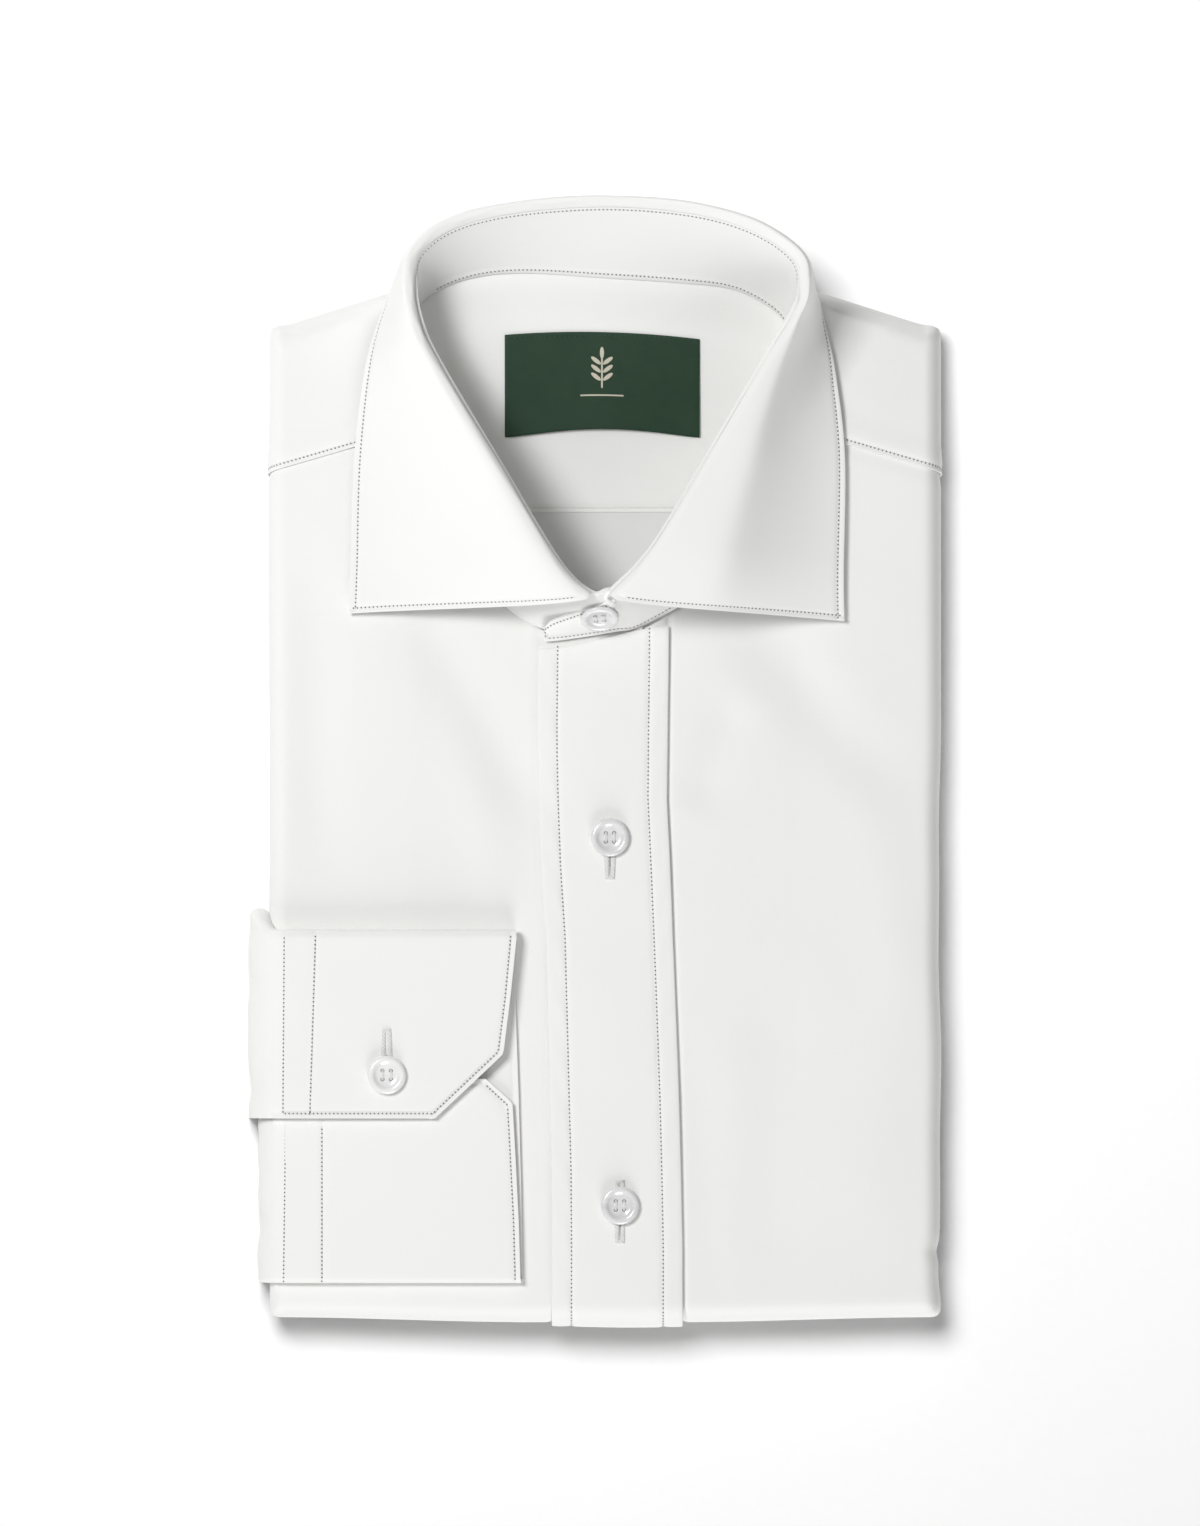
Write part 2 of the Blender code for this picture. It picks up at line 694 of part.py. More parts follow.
def make_cuff(look, into):
    """One band bent round into a flattened ring, with its buttonhole end over its button end."""
    rows = []
    for wrap in cuff_wrap():
        stops = spread(-wrap.wrist_x, SIDE_FLAT, 5) + spread(SIDE_FLAT, CUFF_SEAM, 3)[1:]
        rows.append([sleeve_point(out, wrap.y, wrap.lift) for out in reversed(stops)])
    cloth("cuff", rows, FUSED, look, into)


def make_sleeve(look, into):
    """The sleeve's own end, sewn to the cuff, goes over the edge and down beside the body."""
    start = CUFF_SEAM + SLEEVE_SEAM_GAP
    turned = SIDE_FLAT + EDGE_REACH * math.pi / 2
    end = turned + height(-SIDE_FLAT, -110) - EDGE_DROP - SLEEVE_FOOT
    stops = spread(start, turned, 6)[:-1] + spread(turned, end, 3)
    rows = []
    for wrap in cuff_wrap():
        top = ease((wrap.y + 105) / 48) * SLEEVE_FULLNESS
        row = []
        for out in reversed(stops):
            spreading = ease((out - start) / (turned - start))
            row.append(sleeve_point(out, wrap.y + top * spreading, wrap.lift))
        rows.append(row)
    cloth("sleeve", rows, CLOTH, look, into)


def button_mesh(look, into, cutters):
    """One shirt button: a turned disc with a rim and a dished middle, and four holes."""
    profile = ((0, 0.5), (3.4, 0.55), (4.2, 1.15), (5.2, 1.25), (5.9, 0.8), (6.2, 0.2),
               (5.8, -0.4), (4.6, -0.7), (0, -0.7))
    bm = bmesh.new()
    points = [bm.verts.new(Vector((x, 0, z)) * MM) for x, z in profile]
    for upper, lower in zip(points, points[1:]):
        bm.edges.new((upper, lower))
    turned = new_object("button_blank", bm, into)
    screw = turned.modifiers.new("Turn", "SCREW")
    screw.steps = screw.render_steps = 24
    screw.use_merge_vertices = True
    screw.merge_threshold = 0.00001

    bm = bmesh.new()
    for x in (-1, 1):
        for y in (-1, 1):
            place = Matrix.Translation(Vector((x, y, 0)) * BUTTON_HOLE_PLACE * MM)
            bmesh.ops.create_cone(
                bm, cap_ends=True, segments=10, radius1=BUTTON_HOLE_RADIUS * MM,
                radius2=BUTTON_HOLE_RADIUS * MM, depth=6 * MM, matrix=place,
            )
    cutter = new_object("button_holes_cutter", bm, cutters)
    cutter.hide_render = True
    cutter.display_type = "WIRE"
    holes = turned.modifiers.new("Holes", "BOOLEAN")
    holes.operation = "DIFFERENCE"
    holes.object = cutter

    graph = bpy.context.evaluated_depsgraph_get()
    mesh = bpy.data.meshes.new_from_object(turned.evaluated_get(graph))
    mesh.name = "shirt_button"
    mesh.materials.clear()
    mesh.materials.append(look)
    mesh.shade_smooth()
    mesh.set_sharp_from_angle(angle=math.radians(35))
    bpy.data.objects.remove(turned)
    return mesh


def facing(point, along_x, along_y, away):
    """A place for a button: it lies on the cloth at point, away from it."""
    up = along_x.cross(along_y).normalized()
    side = along_x.normalized()
    turn = Matrix((side, up.cross(side), up)).transposed().to_4x4()
    return Matrix.Translation((point + up * away) * MM) @ turn


def make_buttons(look, into, cutters):
    mesh = button_mesh(look, into, cutters)
    step = Vector((1, 0, 0)), Vector((0, 1, 0))
    away = BUTTON_UNDER + GAP
    places = {}
    for number, (x, y) in enumerate(FRONT_BUTTONS, 1):
        point = body_point(x, y, GAP + FUSED)
        places[f"front_button_{number}"] = facing(point, *step, away)
    x, y = CUFF_BUTTON
    places["cuff_button"] = facing(sleeve_point(-x, y, CUFF_LIFT), *step, away)
    # The third and fourth sections of the stand are the tab's, on either side of this button.
    place = 2 + (NECK_BUTTON[0] - STAND_TAB[1].seam_x) / (STAND_TAB[0].seam_x - STAND_TAB[1].seam_x)
    foot, top = stand_point(place, 0), stand_point(place, 1)
    point = foot + (top - foot).normalized() * NECK_BUTTON[1]
    along = stand_point(place + 0.2, 0.5) - stand_point(place - 0.2, 0.5)
    places["neck_button"] = facing(point, along, top - foot, away)
    for name, matrix in places.items():
        made = bpy.data.objects.new(name, mesh)
        made.matrix_world = matrix
        into.objects.link(made)


def main():
    for old in list(bpy.data.objects):
        bpy.data.objects.remove(old)
    shirt = collection("folded_dress_shirt")
    cutters = collection("cutters")
    cutters.hide_render = True

    white = (0.90, 0.90, 0.89)
    make_folded_layers(material("hidden_cloth", (0.84, 0.84, 0.84), 0.9), shirt, cutters)
    make_fronts(material("front_cloth", white, 0.85), shirt)
    make_yoke(material("yoke_cloth", white, 0.85), shirt)
    make_inner_yoke(material("inner_yoke_cloth", (0.88, 0.88, 0.88), 0.85), shirt)
    make_label(material("label_satin", (0.025, 0.078, 0.036), 0.5), shirt)
    make_stand(material("stand_cloth", white, 0.8), shirt)
    make_fall(material("fall_cloth", white, 0.8), shirt)
    make_placket(material("placket_cloth", white, 0.85), shirt)
    make_cuff(material("cuff_cloth", white, 0.8), shirt)
    make_sleeve(material("sleeve_cloth", white, 0.85), shirt)
    make_buttons(material("button_shell", (0.72, 0.73, 0.72), 0.25), shirt, cutters)


main()
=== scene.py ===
"""A folded dress shirt: white cotton, front up, collar buttoned, one cuff brought round.

Cloth is worked out in millimetres, as a cutter would, and turned into metres as it is laid.
"""

import math

import bpy
import numpy as np
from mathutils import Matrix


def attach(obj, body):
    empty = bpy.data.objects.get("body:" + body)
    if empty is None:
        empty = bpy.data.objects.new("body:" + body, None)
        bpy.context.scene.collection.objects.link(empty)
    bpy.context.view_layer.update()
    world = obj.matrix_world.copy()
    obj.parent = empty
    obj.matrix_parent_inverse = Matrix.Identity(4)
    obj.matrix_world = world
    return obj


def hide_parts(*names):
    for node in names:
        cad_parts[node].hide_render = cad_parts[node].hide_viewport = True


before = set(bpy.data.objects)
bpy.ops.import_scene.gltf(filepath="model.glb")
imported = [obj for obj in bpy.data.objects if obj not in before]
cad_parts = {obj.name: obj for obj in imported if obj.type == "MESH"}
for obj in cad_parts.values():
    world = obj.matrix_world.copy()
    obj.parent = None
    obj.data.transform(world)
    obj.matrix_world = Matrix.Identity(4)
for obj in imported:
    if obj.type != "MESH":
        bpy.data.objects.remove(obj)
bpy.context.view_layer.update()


# ---------------------------------------------------------------- hidden layers
# The back, the turned-in sides, the tail and the far sleeve lie folded under the
# fronts. Plain cotton, pressed flat, so that only their folded edges show. Each ply
# is a closed fold with its own soft edge, a little in or out of the one above it.

HALF_WIDTH = 107.6
BODY_HEIGHT = 19.6
EDGE_REACH, EDGE_DROP = 5.4, 8.6
SIDE_FLAT = HALF_WIDTH - EDGE_REACH
QUARTER_ROLL = EDGE_REACH * math.pi / 2
CORNER_POWER = 4.0
HEM_FOLD = -180.7
SHOULDER_FOOT, SHOULDER_SLOPE, SHOULDER_TURN = 137.0, 0.31, 50
RIM_STEPS = 109
PLIES = ((6.3, 9.3, 1.5), (4.5, 6.2, 3.0), (2.3, 4.4, 1.7), (0.7, 2.2, 2.8))  # low, high, set in
FRONT_FOLDS = (  # from x, y to x, y, rise and half width
    (-93, 62, -91, -32, -1.4, 9),
    (-58, 46, -24, -16, -1.5, 10),
    (-46, 16, -31, -52, 0.7, 9),
    (46, 44, 90, -8, -1.6, 11),
    (42, 16, 30, -14, -1.2, 8),
    (76, 22, 98, -76, 0.8, 11),
    (94, -62, 84, -152, 0.9, 13),
    (58, -76, 50, -164, -1.0, 12),
    (30, -96, 34, -170, -0.7, 8),
)


def ease(value):
    """0 to 1, level at both ends."""
    value = np.clip(value, 0.0, 1.0)
    return value * value * (3 - 2 * value)


def mix(low, high, share):
    return low + (high - low) * share


def hem_line(x):
    """How far down the hem fold is, across the shirt."""
    return HEM_FOLD + 1.6 * ease((np.abs(x) - 22) / 84)


def shoulder_line(x):
    """How far up the fold over the shoulders is, across the shirt."""
    out = np.abs(x)
    level = SHOULDER_FOOT + SHOULDER_SLOPE * (HALF_WIDTH - SHOULDER_TURN)
    easing = level + SHOULDER_SLOPE * (SHOULDER_TURN / 2) * (1 - (out / SHOULDER_TURN) ** 2)
    straight = SHOULDER_FOOT + SHOULDER_SLOPE * (HALF_WIDTH - out)
    return np.where(out > SHOULDER_TURN, straight, easing)


def body_height(x, y):
    """Height of the top of the folded body, with the soft folds of its fronts."""
    crown = 1.0 * (1 - (x / HALF_WIDTH) ** 2)
    neck = 3.2 * np.exp(-((x / 62) ** 2) - ((y - 152) / 30) ** 2)
    shoulder = 3.0 * ease((y - 96) / 42) * ease((np.abs(x) - 58) / 46)
    total = BODY_HEIGHT + crown + neck - shoulder
    for x0, y0, x1, y1, rise, half_width in FRONT_FOLDS:
        along_x, along_y = x1 - x0, y1 - y0
        length = math.hypot(along_x, along_y)
        place = ((x - x0) * along_x + (y - y0) * along_y) / length**2
        aside = ((x - x0) * along_y - (y - y0) * along_x) / length
        ends = ease(place * 2.4 + 0.5) * ease((1 - place) * 2.4 + 0.5)
        total = total + rise * ends * np.exp(-((aside / half_width) ** 2))
    soft = 0.16 * np.sin(x / 17 + 1.3 * np.sin(y / 31)) * np.sin(y / 23 + 0.9 * np.sin(x / 29 + 1))
    return total + soft + 0.07 * np.sin((x + 0.6 * y) / 9 + 2) * np.sin((y - 0.4 * x) / 14)


def edge_wave(x, y):
    """The pressed side folds aren't quite straight."""
    right = 0.35 * np.sin(y / 21 + 0.4) + 0.22 * np.sin(y / 8.5) - 0.4
    notch = -0.9 * np.exp(-(((y + 158) / 2.6) ** 2))
    left = 0.22 * np.sin(y / 26 + 2)
    fade = ease((30 - y) / 60) * ease((y + 176) / 12)
    return np.where(x > 0, (right + notch) * fade, left) * ease((np.abs(x) - 92) / 14)


def body_point(across, along, lift=0.0):
    """A point of the cloth on top of the folded body, lift above it.

    across and along are measured on the cloth, so past an edge they go on round its roll.
    """
    across, along = np.broadcast_arrays(np.asarray(across, float), np.asarray(along, float))
    flat_x = np.clip(across, -SIDE_FLAT, SIDE_FLAT)
    low, high = hem_line(flat_x) + EDGE_REACH, shoulder_line(flat_x) - EDGE_REACH
    flat_y = np.clip(along, low, high)
    past_x, past_y = (across - flat_x) / EDGE_REACH, (along - flat_y) / EDGE_REACH
    turn = np.maximum(np.abs(past_x), np.abs(past_y))
    size = (np.abs(past_x) ** CORNER_POWER + np.abs(past_y) ** CORNER_POWER) ** (1 / CORNER_POWER)
    reach = (EDGE_REACH + lift) * np.sin(turn) / np.maximum(size, 1e-9)
    drop = (EDGE_DROP + lift) * (1 - np.cos(turn))
    x, y = flat_x + reach * past_x, flat_y + reach * past_y
    z = body_height(flat_x, flat_y) + lift - drop
    return np.stack([x + edge_wave(x, y), y, z], -1)


def start_afresh():
    if bpy.context.object and bpy.context.object.mode != "OBJECT":
        bpy.ops.object.mode_set(mode="OBJECT")
    bpy.ops.object.select_all(action="DESELECT")


def apply_all(piece):
    start_afresh()
    piece.select_set(True)
    bpy.context.view_layer.objects.active = piece
    for modifier in list(piece.modifiers):
        bpy.ops.object.modifier_apply(modifier=modifier.name)


def lay_grid(name, points):
    """A grid whose points, rows of (x, y, z) in millimetres, give its outer face.

    Its UV map measures the cloth in metres, along the middle of the grid each way.
    """
    rows, columns = points.shape[:2]
    start_afresh()
    bpy.ops.mesh.primitive_grid_add(x_subdivisions=columns - 1, y_subdivisions=rows - 1, size=1)
    piece = bpy.context.object
    piece.name = piece.data.name = name
    piece.data.vertices.foreach_set("co", (points * 0.001).reshape(-1))
    middle_row, middle_column = points[rows // 2], points[:, columns // 2]
    u = np.append(0, np.cumsum(np.linalg.norm(np.diff(middle_row, axis=0), axis=1))) * 0.001
    v = np.append(0, np.cumsum(np.linalg.norm(np.diff(middle_column, axis=0), axis=1))) * 0.001
    corner = np.empty(len(piece.data.loops), np.int32)
    piece.data.loops.foreach_get("vertex_index", corner)
    flat = np.stack([u[corner % columns], v[corner // columns]], -1)
    piece.data.uv_layers.active.data.foreach_set("uv", flat.reshape(-1))
    piece.data.update()
    return piece


def finish_cloth(piece, look, smooth_angle=50):
    start_afresh()
    piece.select_set(True)
    bpy.context.view_layer.objects.active = piece
    bpy.ops.object.shade_smooth_by_angle(angle=math.radians(smooth_angle))
    piece.data.materials.clear()
    piece.data.materials.append(look)
    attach(piece, "root")


def lay_cloth(name, points, wall, look, even=True):
    """A ply of cloth, wall thick, with softly rounded rims. even keeps the wall full at bends."""
    piece = lay_grid(name, points)
    solid = piece.modifiers.new("Wall", "SOLIDIFY")
    solid.thickness = wall * 0.001
    solid.offset = -1
    solid.use_even_offset = even
    rim = piece.modifiers.new("Soft rim", "BEVEL")
    rim.width = wall * 0.00034
    rim.segments = 2
    rim.limit_method = "ANGLE"
    rim.angle_limit = math.radians(62)
    apply_all(piece)
    finish_cloth(piece, look, 75)
    return piece


def lay_ply(name, rings, look):
    """A closed fold of cloth, from rings of points that go round it, top to bottom."""
    rings = np.concatenate([rings, rings[:, :1]], axis=1)
    piece = lay_grid(name, rings)
    bpy.ops.object.mode_set(mode="EDIT")
    bpy.ops.mesh.select_all(action="SELECT")
    bpy.ops.mesh.remove_doubles(threshold=1e-6)
    bpy.ops.mesh.select_all(action="DESELECT")
    bpy.ops.mesh.select_non_manifold()
    bpy.ops.mesh.fill_holes(sides=0)
    bpy.ops.mesh.select_all(action="SELECT")
    bpy.ops.mesh.normals_make_consistent(inside=False)
    bpy.ops.object.mode_set(mode="OBJECT")
    finish_cloth(piece, look)
    return piece


class Wire:
    """A socket on its way to a shader, with the arithmetic that the cloth's patterns use."""

    def __init__(self, tree, socket):
        self.tree, self.socket = tree, socket

    def node(self, kind, settings=None, inputs=None, output=0):
        made = self.tree.nodes.new(kind)
        for setting, value in (settings or {}).items():
            setattr(made, setting, value)
        for key, value in (inputs or {}).items():
            if isinstance(value, Wire):
                self.tree.links.new(value.socket, made.inputs[key])
            else:
                made.inputs[key].default_value = value
        return Wire(self.tree, made.outputs[output])

    def math(self, operation, first, second=0.0):
        return self.node("ShaderNodeMath", {"operation": operation}, {0: first, 1: second})

    def __add__(self, other):
        return self.math("ADD", self, other)

    __radd__ = __add__

    def __mul__(self, other):
        return self.math("MULTIPLY", self, other)

    __rmul__ = __mul__

    def __sub__(self, other):
        return self.math("SUBTRACT", self, other)

    def __rsub__(self, other):
        return self.math("SUBTRACT", other, self)

    def sine(self):
        return self.math("SINE", self)

    def size(self):
        return self.math("ABSOLUTE", self)

    def smooth(self, low, high):
        """0 below low and 1 above high, with a soft step between."""
        settings = {"interpolation_type": "SMOOTHSTEP"}
        return self.node("ShaderNodeMapRange", settings, {"Value": self, 1: low, 2: high})

    def noise(self, scale, detail=2.0):
        """Uneven marks of about 1 / scale across, where scale is a number a metre each way."""
        stretched = self.node("ShaderNodeMapping", None, {"Vector": self, "Scale": scale})
        return self.node("ShaderNodeTexNoise", None,
                         {"Vector": stretched, "Scale": 1.0, "Detail": detail})

    def part(self, axis):
        return self.node("ShaderNodeSeparateXYZ", None, {0: self}, axis)

    def tint(self, low, high):
        """One colour where this is 0 and the other where it is 1."""
        ends = {0: self, 6: (*low, 1), 7: (*high, 1)}
        return self.node("ShaderNodeMix", {"data_type": "RGBA"}, ends, 2)

    def bump(self, strength, distance):
        """The normal of a surface whose height this is, times a distance."""
        height = {"Strength": strength, "Distance": distance, "Height": self}
        return self.node("ShaderNodeBump", None, height)


def deeper(tint, share):
    return tuple(channel * share for channel in tint)


def new_look(name, roughness):
    """A material, the wire of its cloth coordinates, and its shader."""
    look = bpy.data.materials.new(name)
    look.use_nodes = True
    tree = look.node_tree
    shader = tree.nodes["Principled BSDF"]
    shader.inputs["Roughness"].default_value = roughness
    place = tree.nodes.new("ShaderNodeTexCoord")
    return look, Wire(tree, place.outputs["UV"]), shader


def feed(look, shader, colour, normal, roughness, specular):
    """Wires what changes over a surface to its shader, and sets how much it mirrors."""
    for name, wire in (("Base Color", colour), ("Normal", normal), ("Roughness", roughness)):
        look.node_tree.links.new(wire.socket, shader.inputs[name])
    shader.inputs["Specular IOR Level"].default_value = specular


def cotton(name, tint, thread=0.42, relief=0.00007):
    """Plain-weave shirting: fine threads both ways, slightly uneven, and a dry soft finish."""
    look, cloth, shader = new_look(name, 0.86)
    u, v = cloth.part(0), cloth.part(1)
    drift = cloth.noise((90, 90, 1)) * 0.6
    turns = 2000 * math.pi / thread
    warp = (u * turns + drift).sine()
    weft = (v * turns + drift).sine()
    weave = warp * weft
    slub = cloth.noise((2400, 70, 1)) + cloth.noise((70, 2400, 1)) - 1.0
    cloud = cloth.noise((38, 38, 1), 3.0)
    shade = (weave * 0.05 + slub * 0.16 + (cloud - 0.5) * 0.3 + 0.5).smooth(0.0, 1.0)
    normal = (weave * 0.35 + slub * 0.8).bump(0.35, relief)
    feed(look, shader, shade.tint(deeper(tint, 0.965), tint), normal, cloud * 0.12 + 0.8, 0.25)
    shader.inputs["Sheen Weight"].default_value = 0.08
    shader.inputs["Sheen Roughness"].default_value = 0.5
    return look


hidden_cotton = cotton("hidden_cotton", (0.83, 0.83, 0.825))

lengthwise = np.linspace(0, 1, RIM_STEPS + 1)
crosswise = np.linspace(-SIDE_FLAT - QUARTER_ROLL, SIDE_FLAT + QUARTER_ROLL, 90)
flat_x = np.clip(crosswise, -SIDE_FLAT, SIDE_FLAT)
foot = hem_line(flat_x) + EDGE_REACH - QUARTER_ROLL
head = shoulder_line(flat_x) - EDGE_REACH + QUARTER_ROLL
upward = mix(foot[-1], head[-1], lengthwise)
rim_across = np.concatenate([crosswise[:-1], np.full(RIM_STEPS, crosswise[-1]),
                             crosswise[:0:-1], np.full(RIM_STEPS, crosswise[0])])
rim_along = np.concatenate([foot[:-1], upward[:-1], head[:0:-1], upward[:0:-1]])
body_rim = body_point(rim_across, rim_along)[:, :2]
rim_run = np.append(0, np.cumsum(np.linalg.norm(np.diff(body_rim, axis=0), axis=1)))


def ply_rings(low, high, inset, phase):
    """Rings of one folded ply between two heights, with a gently uneven edge."""
    turns = rim_run / rim_run[-1] * 2 * math.pi
    wave = 0.45 * np.sin(turns * 5 + phase) + 0.3 * np.sin(turns * 13 + phase * 2.3)
    lean = 0.22 * np.sin(turns * 7 + phase * 1.7)
    profile = [(min(high - 0.2, 5.6), 34.0), (high, 9.0)]
    for angle in np.linspace(0, math.pi, 9):
        middle, half = (high + low) / 2, (high - low) / 2
        profile.append((middle + half * math.cos(angle), half * 1.3 * (1 - math.sin(angle))))
    profile += [(low, 9.0), (low + 0.2, 34.0)]
    rings = []
    for z, further in profile:
        total = inset + further + wave * (1 if further < 5 else 0.3)
        x, y = body_rim[:, 0], body_rim[:, 1]
        ring = [x - x * total / HALF_WIDTH, y - (y + 12) * total / 168]
        rings.append(np.stack([*ring, z + lean * (0.3 < z < 8) + 0 * x], -1))
    return np.array(rings)


folded = []
for number, (low, high, inset) in enumerate(PLIES):
    rings = ply_rings(low, high, inset, number * 2.1)
    folded.append(lay_ply(f"folded_ply_{number + 1}", rings, hidden_cotton))
start_afresh()
for ply in folded:
    ply.select_set(True)
bpy.context.view_layer.objects.active = folded[0]
bpy.ops.object.join()
folded = folded[0]
folded.name = folded.data.name = "folded_sides_and_tail"
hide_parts("folded_layers")


# ---------------------------------------------------------------- inside of the neck
# The back of the shirt, seen through the neck: the back panel low in the hollow,
# and the inner yoke lapped over it with a row of stitches, up to the neck seam.

NECK_HALF = ((36, 9), (42, 15), (56, 35), (83, 51),
             (116, 61.6), (132, 62.6), (145, 60.6), (156, 56))
NECK_BACK = ((-62, 143.0), (-60.6, 144.6), (-53.8, 150.4), (-42, 154.6), (-26, 156), (0, 154.4),
             (24, 152.8), (40, 151), (51.4, 146), (58.6, 139.6), (62, 137))
INNER_SEAM = 78.7
INNER_WALL = 0.5
SEAM_STITCH = 1.5


def back_seam(x):
    return np.interp(x, *zip(*NECK_BACK))


def hollow_point(x, y, lift=0.0):
    """The floor of the neck, which climbs at its rim to the neck seam."""
    floor = mix(7.4, 20.2, ease((y - 74) / 82))
    soft = 0.3 * np.sin(x / 13 + y / 37) * np.sin(y / 17 + 1)
    floor = floor + soft - 0.5 * np.exp(-((x / 26) ** 2))
    half = np.interp(y, *zip(*NECK_HALF))
    sides = ease((np.abs(x) - (half - 12)) / 15)
    back = ease((y - (back_seam(x) - 15)) / 15)
    front = ease((54 - y) / 14)
    rim = np.maximum(np.maximum(sides, back), front)
    seam = body_height(x, np.minimum(y, 160)) - 1.7 + 1.3 * back
    return np.stack([x, y, mix(floor, seam, rim) + lift], -1)


inner_cotton = cotton("inner_cotton", (0.858, 0.858, 0.842))
x, y = np.meshgrid(np.linspace(-66, 66, 67), np.linspace(34, 92, 36))
x = x * (0.32 + 0.68 * ease((y - 30) / 42))
# The back panel's cotton is painted darker than the rest of the shirt: painted shade in the hollow of
# the neck.
back_panel = lay_cloth("back_panel_inside", hollow_point(x, y), INNER_WALL,
                       cotton("back_cotton_painted_shade", (0.74, 0.74, 0.735)))
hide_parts("folded_layers")


def near(stops, *places):
    """Adds stops close to the places where the cloth is sewn."""
    extra = [place + step for place in places for step in (-1.5, -0.9, -0.45, 0, 0.45, 0.9, 1.5)]
    inside = [stop for stop in extra if stops[0] < stop < stops[-1]]
    kept = [stop for stop in stops[1:-1] if min([abs(stop - i) for i in inside] + [9]) > 0.4]
    return np.array(sorted([stops[0], stops[-1], *kept, *inside]))


def sewn(distance, depth=0.28, half=0.75):
    """The hollow that a row of stitches pulls into the cloth."""
    return -depth * np.exp(-((distance / half) ** 2))


share = near(np.linspace(0, 78, 50), SEAM_STITCH) / 78
across = np.linspace(-1, 1, 67)
across, share = np.meshgrid(across, share)
widest = np.interp(mix(INNER_SEAM, 142, share), *zip(*NECK_HALF)) - 0.6
x = across * widest
y = mix(INNER_SEAM, back_seam(x) - 0.2, share)
lift = 0.62 - 0.3 * ease(1 - (y - INNER_SEAM) / 3) + sewn(y - INNER_SEAM - SEAM_STITCH, 0.1)
inner_yoke = lay_cloth("inner_yoke_panel", hollow_point(x, y, lift), INNER_WALL, inner_cotton)
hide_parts("inner_yoke")


# One stitch is a short loop of white thread that sinks into the cloth at both ends, and a dark
# disc between it and the next is painted shade for the needle's hole. Seams are sewn by copying it
# along a line.
start_afresh()
bpy.ops.mesh.primitive_uv_sphere_add(segments=6, ring_count=6, radius=0.5)
one_stitch = bpy.context.object
bpy.ops.object.mode_set(mode="EDIT")
bpy.ops.transform.rotate(value=math.pi / 2, orient_axis="Y", center_override=(0, 0, 0))
bpy.ops.object.mode_set(mode="OBJECT")
stitch_points = np.array([tuple(vertex.co) for vertex in one_stitch.data.vertices])
stitch_faces = [tuple(face.vertices) for face in one_stitch.data.polygons]
bpy.ops.object.delete()
# A flat disc, laid dark between the stitches as painted shade for each needle hole.
bpy.ops.mesh.primitive_circle_add(vertices=7, radius=0.5, fill_type="NGON")
shade_disc_points = np.array([tuple(vertex.co) for vertex in bpy.context.object.data.vertices])
shade_disc_faces = [tuple(face.vertices) for face in bpy.context.object.data.polygons]
bpy.ops.object.delete()


def unit(vectors):
    return vectors / np.maximum(np.linalg.norm(vectors, axis=-1, keepdims=True), 1e-12)


def outward(surface, a, b, step=0.01):
    """The way straight out of a surface, at a and b."""
    return unit(np.cross(surface(a + step, b) - surface(a - step, b),
                         surface(a, b + step) - surface(a, b - step)))


def seam_places(surface, line, pitch):
    """Even places along a line on a surface: points, and the way out of it at each."""
    line = np.asarray(line, float)
    count = np.arange(len(line))
    fine = np.linspace(0, len(line) - 1, 60 * (len(line) - 1) + 1)
    a, b = np.interp(fine, count, line[:, 0]), np.interp(fine, count, line[:, 1])
    run = np.append(0, np.cumsum(np.linalg.norm(np.diff(surface(a, b), axis=0), axis=1)))
    stations = np.linspace(0, run[-1], max(int(round(run[-1] / pitch)), 1) + 1)
    a, b = np.interp(stations, run, a), np.interp(stations, run, b)
    return surface(a, b), outward(surface, a, b)


def copy_along(points, faces, centre, forward, side, up, size):
    """Copies of one small shape, as points and faces."""
    scaled = points * np.asarray(size)
    placed = (centre[:, None] + scaled[None, :, :1] * forward[:, None]
              + scaled[None, :, 1:2] * side[:, None] + scaled[None, :, 2:] * up[:, None])
    step = len(points)
    return placed.reshape(-1, 3), [
        tuple(corner + number * step for corner in face)
        for number in range(len(centre)) for face in faces]


def thread_piece(name, batches, looks):
    """One piece from batches of copied shapes, each with its material's number."""
    points, faces, kinds, start = [], [], [], 0
    for (batch_points, batch_faces), kind in batches:
        points.append(batch_points)
        faces += [tuple(corner + start for corner in face) for face in batch_faces]
        kinds += [kind] * len(batch_faces)
        start += len(batch_points)
    mesh = bpy.data.meshes.new(name)
    mesh.from_pydata((np.concatenate(points) * 0.001).tolist(), [], faces)
    for look in looks:
        mesh.materials.append(look)
    mesh.polygons.foreach_set("material_index", kinds)
    mesh.polygons.foreach_set("use_smooth", [True] * len(faces))
    mesh.update()
    piece = bpy.data.objects.new(name, mesh)
    bpy.context.collection.objects.link(piece)
    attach(piece, "root")
    return piece


def spun_thread(name, tint, twist=5200.0):
    """Polyester-cotton sewing thread: two plies twisted, with a slight lustre."""
    look, place, shader = new_look(name, 0.55)
    place = place.node("ShaderNodeTexCoord", None, None, 3)
    plies = ((place.part(0) + place.part(1) + place.part(2) * 0.6) * twist).sine()
    fuzz = place.noise((1500, 1500, 1500))
    colour = (plies * 0.3 + fuzz).smooth(0.2, 0.9).tint(deeper(tint, 0.86), tint)
    feed(look, shader, colour, (plies + fuzz).bump(0.3, 0.00004), fuzz * 0.2 + 0.45, 0.35)
    return look


white_thread = spun_thread("white_thread", (0.84, 0.84, 0.83))
# Near-black colour for the discs between stitches: painted shade in each needle hole.
needle_hole_shade = spun_thread("needle_hole_shade", (0.2, 0.2, 0.2))


